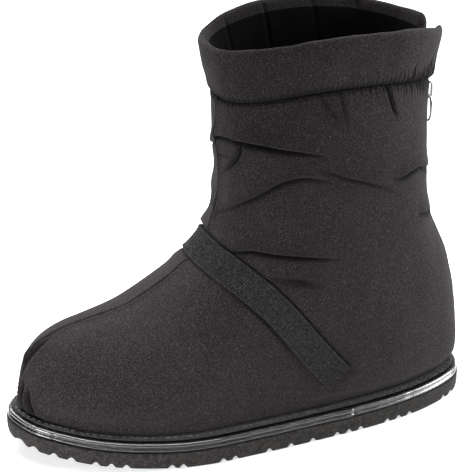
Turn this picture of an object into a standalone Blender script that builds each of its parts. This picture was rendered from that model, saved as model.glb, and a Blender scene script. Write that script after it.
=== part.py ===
"""A padded overboot for the left foot, zipped up the back.

Metres. The toe points to -Y, the heel to +Y, the outer side of the foot to +X,
and the boot stands on Z = 0 with its sole centred on the origin.
"""
import math

import bmesh
import bpy
import numpy as np
from mathutils import Vector
from mathutils.bvhtree import BVHTree

# ---- named sizes -------------------------------------------------------

SOLE_LENGTH = 0.320
SOLE_HALF_WIDTH = 0.0605
TOE_SPRING = 0.0115
SPRING_LENGTH = 0.106

OUTSOLE_HEIGHT = 0.011
OUTSOLE_DRAFT = 0.0012
GROOVE_DEPTH = 0.0024
GROOVE_WIDTH = 0.0050
ARCH_LIFT = 0.0012

BINDING_HEIGHT = 0.006
BINDING_WIDTH = 0.010
BINDING_INSET = 0.0012
BINDING_OVERLAP = 0.0007
OVERLAP_LENGTH = 0.022
OVERLAP_PLACE = 0.058

WELT_HEIGHT = 0.0022
WELT_LEDGE = 0.0040
INSOLE_HEIGHT = 0.004

UPPER_INSET = 0.0080
UPPER_WALL = 0.0045
UPPER_BULGE = 0.0040
INSTEP_RISE = 0.1050
COLLAR_HEIGHT = 0.2360
COLLAR_RISE = 0.0015
COLLAR_DIP = 0.0105
SHAFT_LENGTH = 0.1450
SHAFT_HALF_WIDTH = 0.0500
SHAFT_CENTRE = 0.0520
RING_TILT = 0.030
THROAT_BLEND = 0.016

CUFF_HEIGHT = 0.0330
CUFF_THICKNESS = 0.0125
CUFF_SPLIT_LOW = 0.0030
CUFF_SPLIT_TOP = 0.0090

STRAP_WIDTH = 0.0220
STRAP_THICKNESS = 0.0016
STRAP_SLOPE = math.radians(47.0)
STRAP_BOW = 0.0050
STRAP_AHEAD = 0.0100
STRAP_END_HEIGHT = 0.0390

ZIP_BOTTOM = 0.0700
ZIP_SLOT = 0.0090
TAPE_THICKNESS = 0.0020
TAPE_DEPTH = 0.0010
CHAIN_WIDTH = 0.0052
CHAIN_THICKNESS = 0.0016
SLIDER_WIDTH = 0.0090
SLIDER_LENGTH = 0.0150
SLIDER_PLATE = 0.0018
SLIDER_DROP = 0.0050
BRIDGE_RADIUS = 0.0009
BRIDGE_RISE = 0.0040
BRIDGE_SPAN = 0.0104
PULL_WIRE = 0.0008
PULL_WIDTH = 0.0120
PULL_LENGTH = 0.0190

GAP = 0.0003
STRAP_SEAT = 0.0008

# ---- tables ------------------------------------------------------------
# A turn of 0 is the toe's tip and 1 is the heel's, and it grows with the
# angle round an ellipse, so the ends of the outline come out round.

# turn, outer edge, inner edge (shares of the sole's half width)
OUTLINE = [
    (0.00, -0.08, 0.08),
    (0.06, 0.125, 0.28),
    (0.12, 0.350, 0.50),
    (0.18, 0.530, 0.69),
    (0.25, 0.735, 0.88),
    (0.32, 0.885, 0.985),
    (0.40, 0.995, 1.00),
    (0.48, 0.970, 0.93),
    (0.56, 0.910, 0.865),
    (0.64, 0.835, 0.85),
    (0.72, 0.720, 0.845),
    (0.80, 0.545, 0.72),
    (0.88, 0.335, 0.51),
    (0.94, 0.120, 0.31),
    (1.00, -0.08, 0.08),
]

# turn, height of the foot over the welt (share of the instep's rise)
VAMP = [
    (0.00, 0.05),
    (0.035, 0.155),
    (0.07, 0.262),
    (0.12, 0.372),
    (0.16, 0.446),
    (0.22, 0.530),
    (0.28, 0.598),
    (0.32, 0.655),
    (0.37, 0.780),
    (0.41, 0.895),
    (0.44, 1.000),
    (0.52, 1.120),
    (0.65, 1.100),
    (0.80, 0.900),
    (0.92, 0.600),
    (1.00, 0.100),
]

# height (share of the collar's), front, back (shares of half the shaft's
# length, from its centre), half width (share of the shaft's)
SHAFT = [
    (0.085, -0.94, 1.350, 0.84),
    (0.150, -0.95, 1.370, 0.93),
    (0.250, -0.96, 1.330, 0.99),
    (0.350, -0.97, 1.250, 1.00),
    (0.450, -0.98, 1.160, 0.98),
    (0.550, -0.980, 1.080, 0.965),
    (0.680, -0.975, 1.020, 0.965),
    (0.820, -0.970, 0.990, 0.985),
    (0.940, -0.990, 0.980, 1.00),
    (1.000, -0.990, 0.980, 1.00),
]

# outward, upward (shares of the cuff's thickness and height)
CUFF_SECTION = [
    (0.00, 0.00),
    (0.22, 0.13),
    (0.39, 0.34),
    (0.52, 0.58),
    (0.60, 0.80),
    (0.58, 0.94),
    (0.46, 1.00),
    (0.30, 0.97),
    (0.12, 0.84),
    (-0.08, 0.62),
    (-0.24, 0.36),
    (-0.33, 0.12),
    (-0.34, 0.00),
]

# place and spacing (shares of the sole's length), number of grooves
LUG_GROOVES = [
    (0.0250, 0.020, 2),
    (0.0830, 0.030, 2),
    (0.1690, 0.028, 3),
    (0.2950, 0.022, 2),
    (0.4010, 0.026, 2),
    (0.5130, 0.049, 2),
    (0.5875, 0.000, 1),
    (0.6720, 0.028, 3),
    (0.7950, 0.029, 3),
    (0.9375, 0.025, 2),
]

# inward, upward (shares of the binding's width and height)
BINDING_SECTION = [
    (1.00, 0.00),
    (0.08, 0.00),
    (0.01, 0.22),
    (0.035, 0.46),
    (0.01, 0.70),
    (0.10, 0.96),
    (0.26, 1.00),
    (1.00, 1.00),
]

# name, red, green, blue, roughness, metallic
FINISHES = [
    ("outsole", 0.055, 0.050, 0.046, 0.80, 0.0),
    ("midsole", 0.030, 0.030, 0.031, 0.85, 0.0),
    ("binding", 0.012, 0.012, 0.013, 0.25, 0.0),
    ("welt", 0.014, 0.014, 0.015, 0.55, 0.0),
    ("insole", 0.050, 0.050, 0.052, 0.90, 0.0),
    ("upper", 0.017, 0.015, 0.016, 0.80, 0.0),
    ("cuff", 0.017, 0.015, 0.016, 0.80, 0.0),
    ("strap", 0.013, 0.013, 0.014, 0.75, 0.0),
    ("zip_tape", 0.012, 0.012, 0.013, 0.85, 0.0),
    ("zip_chain", 0.018, 0.018, 0.019, 0.50, 0.0),
    ("zip_slider", 0.720, 0.720, 0.730, 0.28, 1.0),
    ("zip_pull", 0.760, 0.760, 0.770, 0.22, 1.0),
]

# ---- levels worked out from the sizes ----------------------------------

BINDING_BASE = OUTSOLE_HEIGHT + GAP
PLATFORM_TOP = BINDING_BASE + BINDING_HEIGHT
WELT_BASE = PLATFORM_TOP + GAP
WELT_TOP = WELT_BASE + WELT_HEIGHT
UPPER_BASE = WELT_TOP + GAP
HALF_LENGTH = SOLE_LENGTH / 2
SPRING_START = SPRING_LENGTH - HALF_LENGTH


# ---- helpers -----------------------------------------------------------

def smooth_table(rows, column, shares):
    """Read one column of a table at any shares, as a smooth curve."""
    xs = np.array([row[0] for row in rows])
    ys = np.array([row[column] for row in rows])
    slopes = np.gradient(ys, xs)
    shares = np.clip(np.asarray(shares, dtype=float), xs[0], xs[-1])
    cell = np.clip(np.searchsorted(xs, shares, side="right") - 1, 0, len(xs) - 2)
    width = xs[cell + 1] - xs[cell]
    t = (shares - xs[cell]) / width
    start = ys[cell] * (1 + 2 * t) * (1 - t) ** 2
    end = ys[cell + 1] * t * t * (3 - 2 * t)
    lean = slopes[cell] * t * (1 - t) ** 2 - slopes[cell + 1] * t * t * (1 - t)
    return start + end + lean * width


def ease(value):
    """Go from 0 to 1 with level ends."""
    value = np.clip(value, 0.0, 1.0)
    return value * value * (3 - 2 * value)


def spring(y):
    """The toe's lift over the floor at a place along the boot."""
    reach = np.clip((SPRING_START - np.asarray(y)) / SPRING_LENGTH, 0.0, None)
    return TOE_SPRING * reach ** 2


def sole_edge(turns, side, inset=0.0):
    """Points on the sole's outline, moved inward; side 1 is the outer edge."""
    turns = np.asarray(turns, dtype=float)
    step = 1e-4

    def raw(at):
        mirrored = np.where(at < 0, -at, np.where(at > 1, 2 - at, at))
        column = np.where((at < 0) | (at > 1), -side, side)
        outer = smooth_table(OUTLINE, 1, mirrored)
        inner = -smooth_table(OUTLINE, 2, mirrored)
        x = np.where(column > 0, outer, inner) * SOLE_HALF_WIDTH
        return np.stack([x, -HALF_LENGTH * np.cos(np.pi * mirrored)], axis=-1)

    along = raw(turns + step) - raw(turns - step)
    along /= np.linalg.norm(along, axis=-1, keepdims=True)
    inward = np.stack([-along[..., 1], along[..., 0]], axis=-1) * side
    return raw(turns) + inward * inset


def loop_turns(count):
    """Even turns for a whole outline: down the outer edge, back up the inner."""
    outer = np.linspace(0, 1, count + 1)
    return outer, outer[1:-1][::-1]


def sole_loop(count, inset):
    """One closed outline as plan points."""
    outer, inner = loop_turns(count)
    return np.concatenate([sole_edge(outer, 1, inset), sole_edge(inner, -1, inset)])


def new_object(name, vertices, faces, collection):
    """Make a mesh object with its faces pointing out."""
    mesh = bpy.data.meshes.new(name)
    mesh.from_pydata([tuple(v) for v in vertices], [], faces)
    work = bmesh.new()
    work.from_mesh(mesh)
    bmesh.ops.recalc_face_normals(work, faces=work.faces)
    work.to_mesh(mesh)
    work.free()
    made = bpy.data.objects.new(name, mesh)
    collection.objects.link(made)
    return made


def loft(loops, closed):
    """Faces between loops of equal length; open lofts get end caps."""
    size = len(loops[0])
    count = len(loops)
    faces = []
    for i in range(count if closed else count - 1):
        a = i * size
        b = (i + 1) % count * size
        for j in range(size):
            k = (j + 1) % size
            faces.append((a + j, a + k, b + k, b + j))
    if not closed:
        faces.append(tuple(range(size)))
        faces.append(tuple(range((count - 1) * size, count * size)))
    return faces


def lofted(name, loops, closed, collection):
    vertices = [point for loop in loops for point in loop]
    return new_object(name, vertices, loft(loops, closed), collection)


def edge_ring(name, section, collection, count, wobble=None):
    """Sweep a section round the sole: rows of (inset, height) in metres."""
    outer, inner = loop_turns(count)
    turns = np.concatenate([outer, inner])
    sides = np.concatenate([np.ones(len(outer)), -np.ones(len(inner))])
    if wobble is not None:
        turns, sides, swell = wobble(turns, sides)
    else:
        swell = np.zeros(len(turns))
    loops = []
    for turn, side, extra in zip(turns, sides, swell):
        loop = []
        for inset, height in section:
            share = 1.0 if inset < section[0][0] else 0.0
            x, y = sole_edge(turn, side, inset - extra * share)
            loop.append((x, y, height + spring(y)))
        loops.append(loop)
    return lofted(name, loops, True, collection)


def board(name, inset, low, high, collection, count):
    """A flat layer of the sole, bent up with the toe spring."""
    outer = sole_edge(np.linspace(0, 1, count + 1), 1, inset)
    inner = sole_edge(np.linspace(0, 1, count + 1), -1, inset)
    vertices = []
    for i in range(count + 1):
        for x, y in (outer[i], inner[i]):
            vertices.append((x, y, low + spring(y)))
            vertices.append((x, y, high + spring(y)))
    faces = []
    for i in range(count):
        a = 4 * i
        b = a + 4
        faces.append((a, a + 2, b + 2, b))
        faces.append((a + 1, b + 1, b + 3, a + 3))
        faces.append((a, b, b + 1, a + 1))
        faces.append((a + 2, a + 3, b + 3, b + 2))
    made = new_object(name, vertices, faces, collection)
    work = bmesh.new()
    work.from_mesh(made.data)
    bmesh.ops.remove_doubles(work, verts=work.verts, dist=1e-6)
    bmesh.ops.dissolve_degenerate(work, edges=work.edges, dist=1e-7)
    bmesh.ops.recalc_face_normals(work, faces=work.faces)
    work.to_mesh(made.data)
    work.free()
    return made


# ---- the form of the upper ---------------------------------------------

FEATHER_TURNS = np.linspace(0, 1, 400)
FEATHER_OUTER = sole_edge(FEATHER_TURNS, 1, UPPER_INSET)
FEATHER_INNER = sole_edge(FEATHER_TURNS, -1, UPPER_INSET)
FEATHER_END = HALF_LENGTH - UPPER_INSET


def collar_level(y):
    """Height of the seam between shaft and cuff."""
    away = (y - SHAFT_CENTRE) / (SHAFT_LENGTH / 2)
    return COLLAR_HEIGHT + COLLAR_RISE * away / 2 - COLLAR_DIP * away ** 2


def upper_field(x, y, z):
    """Below zero inside the upper's outer skin, zero on it."""
    outer = np.interp(y, FEATHER_OUTER[:, 1], FEATHER_OUTER[:, 0])
    inner = np.interp(y, FEATHER_INNER[:, 1], FEATHER_INNER[:, 0])
    beyond = np.clip(np.abs(y) - FEATHER_END, 0, None)
    middle = (outer + inner) / 2
    half = np.maximum((outer - inner) / 2, 1e-4)
    base = (np.abs(x - middle) / half - 1) * half + beyond * 4

    turn = np.arccos(np.clip(-y / FEATHER_END, -1, 1)) / np.pi
    tall = INSTEP_RISE * smooth_table(VAMP, 1, turn)
    rise = z - UPPER_BASE - spring(y)
    share = np.clip(rise / tall, 0, None)
    swell = UPPER_BULGE * ease(share / 0.35) * ease(half / 0.03)
    across = np.abs(x - middle) / (half + swell)
    lift = np.clip((share - 0.12) / 0.88, 0, None)
    foot = ((across ** 2.35 + lift ** 2.35) ** (1 / 2.35) - 1) * half + beyond * 4

    level = z / collar_level(y)
    front = smooth_table(SHAFT, 1, level) * SHAFT_LENGTH / 2
    back = smooth_table(SHAFT, 2, level) * SHAFT_LENGTH / 2
    wide = smooth_table(SHAFT, 3, level) * SHAFT_HALF_WIDTH
    along = (y - SHAFT_CENTRE - (front + back) / 2) / ((back - front) / 2)
    aside = (x - middle) / wide
    radius = (np.abs(along) ** 2.4 + np.abs(aside) ** 2.4) ** (1 / 2.4)
    shaft = (radius - 1) * wide

    blend = np.clip(0.5 + 0.5 * (shaft - foot) / THROAT_BLEND, 0, 1)
    joined = shaft * (1 - blend) + foot * blend - THROAT_BLEND * blend * (1 - blend)
    grown = ease(rise / 0.012)
    return base * (1 - grown) + joined * grown


def upper_ring(v, angles, shift=0.0):
    """One ring of skin points; v is 0 at the welt and 1 at the collar."""
    centre = SHAFT_CENTRE * ease(v / 0.5)
    reach = FEATHER_END + (SHAFT_LENGTH / 2 - FEATHER_END) * ease(v / 0.55)
    step_x = np.sin(angles) * SHAFT_HALF_WIDTH
    step_y = -np.cos(angles) * reach
    low = np.zeros(len(angles))
    high = np.full(len(angles), 1.9)

    def place(scale):
        x = step_x * scale
        y = centre + step_y * scale
        feather = UPPER_BASE + spring(y)
        tilt = RING_TILT * 4 * v * (1 - v) * (-y / HALF_LENGTH)
        z = feather * (1 - v) + collar_level(y) * v + tilt
        return x, y, z

    for _ in range(40):
        middle = (low + high) / 2
        inside = upper_field(*place(middle)) + shift < 0
        low = np.where(inside, middle, low)
        high = np.where(inside, high, middle)
    return np.stack(place((low + high) / 2), axis=1)


def back_line(z):
    """Where the skin crosses the boot's middle at the back."""
    low = np.full(np.shape(z), SHAFT_CENTRE)
    high = np.full(np.shape(z), HALF_LENGTH)
    for _ in range(40):
        middle = (low + high) / 2
        inside = upper_field(np.zeros(np.shape(z)), middle, z) < 0
        low = np.where(inside, middle, low)
        high = np.where(inside, high, middle)
    return (low + high) / 2


# ---- start -------------------------------------------------------------

for old in list(bpy.data.objects):
    bpy.data.objects.remove(old, do_unlink=True)

parts = bpy.data.collections.new("overboot")
cutters = bpy.data.collections.new("overboot_cutters")
bpy.context.scene.collection.children.link(parts)
bpy.context.scene.collection.children.link(cutters)


# ---- outsole -----------------------------------------------------------
# The tread is a row of wide and narrow lugs from toe to heel, with sloped
# grooves between them that run right across and show as notches.

def groove_places():
    places = []
    for place, spacing, number in LUG_GROOVES:
        for i in range(number):
            share = place + spacing * (i - (number - 1) / 2)
            places.append(share * SOLE_LENGTH - HALF_LENGTH - GROOVE_WIDTH / 2)
    return places


stations = {}
for start in groove_places():
    stations[start] = 0.0
    stations[start + GROOVE_WIDTH * 0.35] = GROOVE_DEPTH
    stations[start + GROOVE_WIDTH * 0.65] = GROOVE_DEPTH
    stations[start + GROOVE_WIDTH] = 0.0
for turn in (0.015, 0.04, 0.075, 0.925, 0.96, 0.985):
    at = -HALF_LENGTH * math.cos(math.pi * turn)
    if all(abs(at - other) > GROOVE_WIDTH * 0.4 for other in stations):
        lifted = [d for y, d in stations.items() if abs(y - at) < GROOVE_WIDTH * 0.4]
        stations[at] = max(lifted, default=0.0)
for share in np.arange(-0.875, 0.876, 0.125):
    at = float(share * HALF_LENGTH)
    if all(abs(at - other) > GROOVE_WIDTH * 1.2 for other in stations):
        stations[at] = 0.0

loops = []
for at in sorted(stations):
    turn = math.acos(-at / HALF_LENGTH) / math.pi
    outer = sole_edge(turn, 1)[0]
    inner = sole_edge(turn, -1)[0]
    lift = float(spring(at))
    depth = stations[at]
    arch = ARCH_LIFT * float(ease((at + 0.02) / 0.04) * ease((0.07 - at) / 0.04))
    top = OUTSOLE_HEIGHT + lift
    half = (outer - inner) / 2
    draft = min(OUTSOLE_DRAFT, half * 0.3)
    floor = lift + depth
    loops.append([
        (inner, at, top),
        (outer, at, top),
        (outer, at, floor + (top - floor) * 0.42),
        (outer - draft, at, floor),
        (inner + draft, at, floor + arch),
        (inner, at, floor + arch + (top - floor) * 0.42),
    ])
outsole = lofted("outsole", loops, False, parts)

# ---- midsole, binding and welt -----------------------------------------

BOARD_INSET = BINDING_INSET + BINDING_WIDTH + GAP
board("midsole", BOARD_INSET, BINDING_BASE, PLATFORM_TOP, parts, 26)


def overlap_step(turns, sides):
    """Stand the strip's free end proud where it laps over its start."""
    joint = math.acos(-OVERLAP_PLACE / HALF_LENGTH) / math.pi
    tail = math.acos(-(OVERLAP_PLACE - OVERLAP_LENGTH) / HALF_LENGTH) / math.pi
    swell = []
    kept_turns = []
    kept_sides = []
    placed = False
    for turn, side in zip(turns, sides):
        if side > 0 and not placed and turn > joint:
            for extra_turn, extra in ((joint - 0.002, 1.0), (joint + 0.002, 0.0)):
                kept_turns.append(extra_turn)
                kept_sides.append(side)
                swell.append(BINDING_OVERLAP * extra)
            placed = True
        if side > 0 and abs(turn - joint) < 0.008:
            continue
        share = (turn - tail) / (joint - tail)
        proud = share if side > 0 and 0 < share < 1 else 0.0
        kept_turns.append(turn)
        kept_sides.append(side)
        swell.append(BINDING_OVERLAP * proud)
    return np.array(kept_turns), np.array(kept_sides), np.array(swell)


binding_rows = [
    (BINDING_INSET + inward * BINDING_WIDTH, BINDING_BASE + up * BINDING_HEIGHT)
    for inward, up in BINDING_SECTION
]
edge_ring("binding", binding_rows, parts, 34, overlap_step)

WELT_OUTER = UPPER_INSET - WELT_LEDGE
WELT_INNER = UPPER_INSET + UPPER_WALL
welt_rows = [
    (WELT_INNER, WELT_BASE),
    (WELT_OUTER, WELT_BASE),
    (WELT_OUTER, WELT_TOP - WELT_HEIGHT * 0.3),
    (WELT_OUTER + WELT_HEIGHT * 0.3, WELT_TOP),
    (WELT_INNER, WELT_TOP),
]
edge_ring("welt", welt_rows, parts, 30)

# ---- insole ------------------------------------------------------------

INSOLE_INSET = WELT_INNER + 4 * GAP
board("insole", INSOLE_INSET, WELT_BASE, WELT_BASE + INSOLE_HEIGHT, parts, 26)

# ---- upper -------------------------------------------------------------
# Rings of skin run from the welt, tip up over the vamp and lie level at the
# collar. Solidify gives them the padded wall, and the zip's slot is cut.

RING_COUNT = 25
AROUND = 40
angles = np.arange(AROUND) / AROUND * 2 * math.pi
lift_rows = [0.0, 0.012] + [0.012 + 0.973 * (k / RING_COUNT) ** 1.12 for k in range(1, RING_COUNT)]
lift_rows += [0.985, 1.0]
rings = [upper_ring(v, angles) for v in lift_rows]
skin_vertices = [tuple(point) for ring in rings for point in ring]
skin_faces = []
for i in range(len(rings) - 1):
    for j in range(AROUND):
        k = (j + 1) % AROUND
        a = i * AROUND
        b = a + AROUND
        skin_faces.append((a + j, a + k, b + k, b + j))
upper = new_object("upper", skin_vertices, skin_faces, parts)

wall = upper.modifiers.new("wall", "SOLIDIFY")
wall.thickness = UPPER_WALL
wall.offset = -1.0
wall.use_even_offset = True

bpy.ops.mesh.primitive_cube_add(size=1.0)
slot_cutter = bpy.context.active_object
slot_cutter.name = "zip_slot_cutter"
slot_top = COLLAR_HEIGHT + CUFF_HEIGHT
slot_cutter.scale = (ZIP_SLOT, HALF_LENGTH / 2, slot_top - ZIP_BOTTOM)
slot_cutter.location = (0, HALF_LENGTH * 0.875, (slot_top + ZIP_BOTTOM) / 2)
slot_cutter.hide_render = True
slot_cutter.display_type = "WIRE"
for owner in list(slot_cutter.users_collection):
    owner.objects.unlink(slot_cutter)
cutters.objects.link(slot_cutter)
slot = upper.modifiers.new("zip_slot", "BOOLEAN")
slot.operation = "DIFFERENCE"
slot.object = slot_cutter

# ---- cuff --------------------------------------------------------------
# The collar is a thick soft band. It leaves the seam, swells outward, rolls
# over the top, and its two ends part in a V above the zip.

dense_angles = np.linspace(math.pi, 3 * math.pi, 241)
collar_line = upper_ring(1.0, dense_angles)[:, :2]
collar_steps = np.linalg.norm(np.diff(collar_line, axis=0), axis=1)
collar_run = np.concatenate([[0], np.cumsum(collar_steps)])


def collar_place(share, split):
    """A point on the collar's seam and its outward direction, in plan."""
    run = split + (collar_run[-1] - 2 * split) * share
    x = np.interp(run, collar_run, collar_line[:, 0])
    y = np.interp(run, collar_run, collar_line[:, 1])
    ahead = min(run + CUFF_THICKNESS / 3, collar_run[-1])
    behind = max(run - CUFF_THICKNESS / 3, 0)
    dx = np.interp(ahead, collar_run, collar_line[:, 0])
    dx -= np.interp(behind, collar_run, collar_line[:, 0])
    dy = np.interp(ahead, collar_run, collar_line[:, 1])
    dy -= np.interp(behind, collar_run, collar_line[:, 1])
    size = math.hypot(dx, dy)
    outward = Vector((-dy / size, dx / size))
    if outward.dot(Vector((x, y - SHAFT_CENTRE))) < 0:
        outward.negate()
    return x, y, outward


CUFF_STEPS = 42
loops = []
for i in range(CUFF_STEPS + 1):
    loop = []
    for out, up in CUFF_SECTION:
        split = CUFF_SPLIT_LOW + (CUFF_SPLIT_TOP - CUFF_SPLIT_LOW) * up
        x, y, outward = collar_place(i / CUFF_STEPS, split)
        x += outward.x * out * CUFF_THICKNESS
        z = collar_level(y) + GAP + up * CUFF_HEIGHT
        y += outward.y * out * CUFF_THICKNESS
        loop.append((x, y, z))
    loops.append(loop)
lofted("cuff", loops, False, parts)

# ---- strap -------------------------------------------------------------
# Webbing lies in a slanting plane over the instep, down both sides. It is
# dropped onto the finished upper from outside.

skin = BVHTree.FromPolygons(skin_vertices, skin_faces)
ahead_dir = Vector((0, -math.cos(STRAP_SLOPE), math.sin(STRAP_SLOPE)))
across_dir = Vector((0, math.sin(STRAP_SLOPE), math.cos(STRAP_SLOPE)))
instep_y = SHAFT_CENTRE - SHAFT_LENGTH / 2 - STRAP_AHEAD
instep_z = UPPER_BASE + INSTEP_RISE
core_z = (instep_z + STRAP_END_HEIGHT) / 2
core_y = instep_y + (instep_z - core_z) / math.tan(STRAP_SLOPE)
strap_drop = (core_z - STRAP_END_HEIGHT) / math.sin(STRAP_SLOPE)
STRAP_STEPS = 52
end_angle = math.atan2(-strap_drop, SOLE_HALF_WIDTH - UPPER_INSET)
strap_vertices = []
for i in range(STRAP_STEPS + 1):
    angle = end_angle + (math.pi - 2 * end_angle) * i / STRAP_STEPS
    toward = Vector((math.cos(angle), 0, 0)) + ahead_dir * math.sin(angle)
    bow = STRAP_BOW * (1 - math.cos(4 * math.pi * i / STRAP_STEPS)) / 2
    for j in range(4):
        slide = bow + STRAP_WIDTH * (j / 3 - 0.5)
        core = Vector((0, core_y, core_z)) + across_dir * slide
        hit, normal, _, _ = skin.ray_cast(core + toward * 0.3, -toward, 0.3)
        strap_vertices.append(hit + toward * STRAP_SEAT)
strap_faces = []
for i in range(STRAP_STEPS):
    for j in range(3):
        a = i * 4 + j
        strap_faces.append((a, a + 1, a + 5, a + 4))
strap = new_object("strap", strap_vertices, strap_faces, parts)
webbing = strap.modifiers.new("webbing", "SOLIDIFY")
webbing.thickness = STRAP_THICKNESS
webbing.offset = 1.0
webbing.use_even_offset = True

# ---- zip ---------------------------------------------------------------

ZIP_TOP = float(collar_level(SHAFT_CENTRE + SHAFT_LENGTH / 2)) - GAP


def back_strip(name, width, inner, outer, low, high, count):
    """A strip up the back, its faces set in or out from the skin."""
    heights = np.linspace(low, high, count)
    line = back_line(heights)
    rows = []
    for z, y in zip(heights, line):
        rows.append([
            (-width / 2, y - inner, z),
            (width / 2, y - inner, z),
            (width / 2, y - outer, z),
            (-width / 2, y - outer, z),
        ])
    return lofted(name, rows, False, parts)


tape_out = TAPE_DEPTH
tape_in = TAPE_DEPTH + TAPE_THICKNESS
tape_low = ZIP_BOTTOM + GAP
back_strip("zip_tape", ZIP_SLOT - 2 * GAP, tape_in, tape_out, tape_low, ZIP_TOP, 18)
chain_in = TAPE_DEPTH - GAP
chain_out = chain_in - CHAIN_THICKNESS
back_strip("zip_chain", CHAIN_WIDTH, chain_in, chain_out, tape_low + 0.002, ZIP_TOP, 18)

slider_z = ZIP_TOP - SLIDER_DROP - SLIDER_LENGTH / 2
slider_heights = slider_z + np.array([-0.5, 0.0, 0.5]) * SLIDER_LENGTH
slider_seat = float(np.max(back_line(slider_heights))) - chain_out + GAP
plate_face = slider_seat + SLIDER_PLATE

bpy.ops.mesh.primitive_cube_add(size=1.0)
slider = bpy.context.active_object
slider.name = "zip_slider"
slider.data.name = "zip_slider"
for owner in list(slider.users_collection):
    owner.objects.unlink(slider)
parts.objects.link(slider)
for vertex in slider.data.vertices:
    taper = 1.0 if vertex.co.z > 0 else 0.72
    vertex.co.x *= SLIDER_WIDTH * taper
    vertex.co.y *= SLIDER_PLATE
    vertex.co.z *= SLIDER_LENGTH
slider.location = (0, slider_seat + SLIDER_PLATE / 2, slider_z)
soften = slider.modifiers.new("soft_edges", "BEVEL")
soften.width = SLIDER_PLATE * 0.3
soften.segments = 1

bridge_curve = bpy.data.curves.new("bridge", "CURVE")
bridge_curve.dimensions = "3D"
bridge_curve.bevel_depth = BRIDGE_RADIUS
bridge_curve.bevel_resolution = 2
bridge_curve.use_fill_caps = True
half_span = BRIDGE_SPAN / 2
bridge_points = [
    (-SLIDER_PLATE / 2, half_span),
    (BRIDGE_RISE * 0.55, half_span),
    (BRIDGE_RISE * 0.92, half_span * 0.84),
    (BRIDGE_RISE, half_span * 0.55),
    (BRIDGE_RISE, -half_span * 0.55),
    (BRIDGE_RISE * 0.92, -half_span * 0.84),
    (BRIDGE_RISE * 0.55, -half_span),
    (-SLIDER_PLATE / 2, -half_span),
]
bridge_spline = bridge_curve.splines.new("POLY")
bridge_spline.points.add(len(bridge_points) - 1)
for point, (out, up) in zip(bridge_spline.points, bridge_points):
    point.co = (0, out, up, 1)
bridge_source = bpy.data.objects.new("bridge_source", bridge_curve)
cutters.objects.link(bridge_source)
bridge_source.location = (0, plate_face, slider_z)
bpy.context.view_layer.update()
depsgraph = bpy.context.evaluated_depsgraph_get()
bridge_mesh = bpy.data.meshes.new_from_object(bridge_source.evaluated_get(depsgraph))
weld = bmesh.new()
weld.from_mesh(bridge_mesh)
bmesh.ops.remove_doubles(weld, verts=weld.verts, dist=1e-6)
bmesh.ops.recalc_face_normals(weld, faces=weld.faces)
weld.to_mesh(bridge_mesh)
weld.free()
bridge = bpy.data.objects.new("bridge_tool", bridge_mesh)
bridge.matrix_world = bridge_source.matrix_world
bridge.hide_render = True
bridge.display_type = "WIRE"
cutters.objects.link(bridge)
bpy.data.objects.remove(bridge_source, do_unlink=True)
join = slider.modifiers.new("bridge", "BOOLEAN")
join.operation = "UNION"
join.object = bridge

# The pull is an oval wire ring, hung in the lower end of the bridge. Its
# origin is on the wire's middle there, which is the axis that it swings on.

hinge_y = plate_face + (BRIDGE_RISE - BRIDGE_RADIUS) / 2 + 0.0001
hinge_z = slider_z - half_span + BRIDGE_RADIUS + PULL_WIRE + GAP
pull_curve = bpy.data.curves.new("zip_pull", "CURVE")
pull_curve.dimensions = "3D"
pull_curve.bevel_depth = PULL_WIRE
pull_curve.bevel_resolution = 2
pull_spline = pull_curve.splines.new("POLY")
PULL_POINTS = 28
pull_spline.points.add(PULL_POINTS - 1)
pull_spline.use_cyclic_u = True
half_wide = PULL_WIDTH / 2 - PULL_WIRE
half_long = PULL_LENGTH / 2 - PULL_WIRE
for i, point in enumerate(pull_spline.points):
    angle = 2 * math.pi * i / PULL_POINTS
    across = math.copysign(abs(math.sin(angle)) ** 0.85, math.sin(angle))
    down = math.copysign(abs(math.cos(angle)) ** 0.9, math.cos(angle))
    point.co = (half_wide * across, 0, half_long * (down - 1), 1)
pull = bpy.data.objects.new("zip_pull", pull_curve)
pull.location = (0, hinge_y, hinge_z)
parts.objects.link(pull)

# ---- finishes ----------------------------------------------------------

for name, red, green, blue, roughness, metallic in FINISHES:
    material = bpy.data.materials.new(name)
    material.use_nodes = True
    shader = material.node_tree.nodes["Principled BSDF"]
    shader.inputs["Base Color"].default_value = (red, green, blue, 1)
    shader.inputs["Roughness"].default_value = roughness
    shader.inputs["Metallic"].default_value = metallic
    material.diffuse_color = (red, green, blue, 1)
    piece = bpy.data.objects[name]
    piece.data.materials.clear()
    piece.data.materials.append(material)
    if piece.type == "MESH":
        piece.data.shade_smooth()
        piece.data.set_sharp_from_angle(angle=math.radians(40))
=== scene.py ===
"""A padded overboot for the left foot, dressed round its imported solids.

Metres, in the solids' own frame: the toe points to -Y, the heel to +Y, the
outer side of the foot to +X, and the sole stands on Z = 0.
"""

import math

import bmesh
import bpy
import numpy as np
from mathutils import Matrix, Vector, noise
from mathutils.bvhtree import BVHTree


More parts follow.
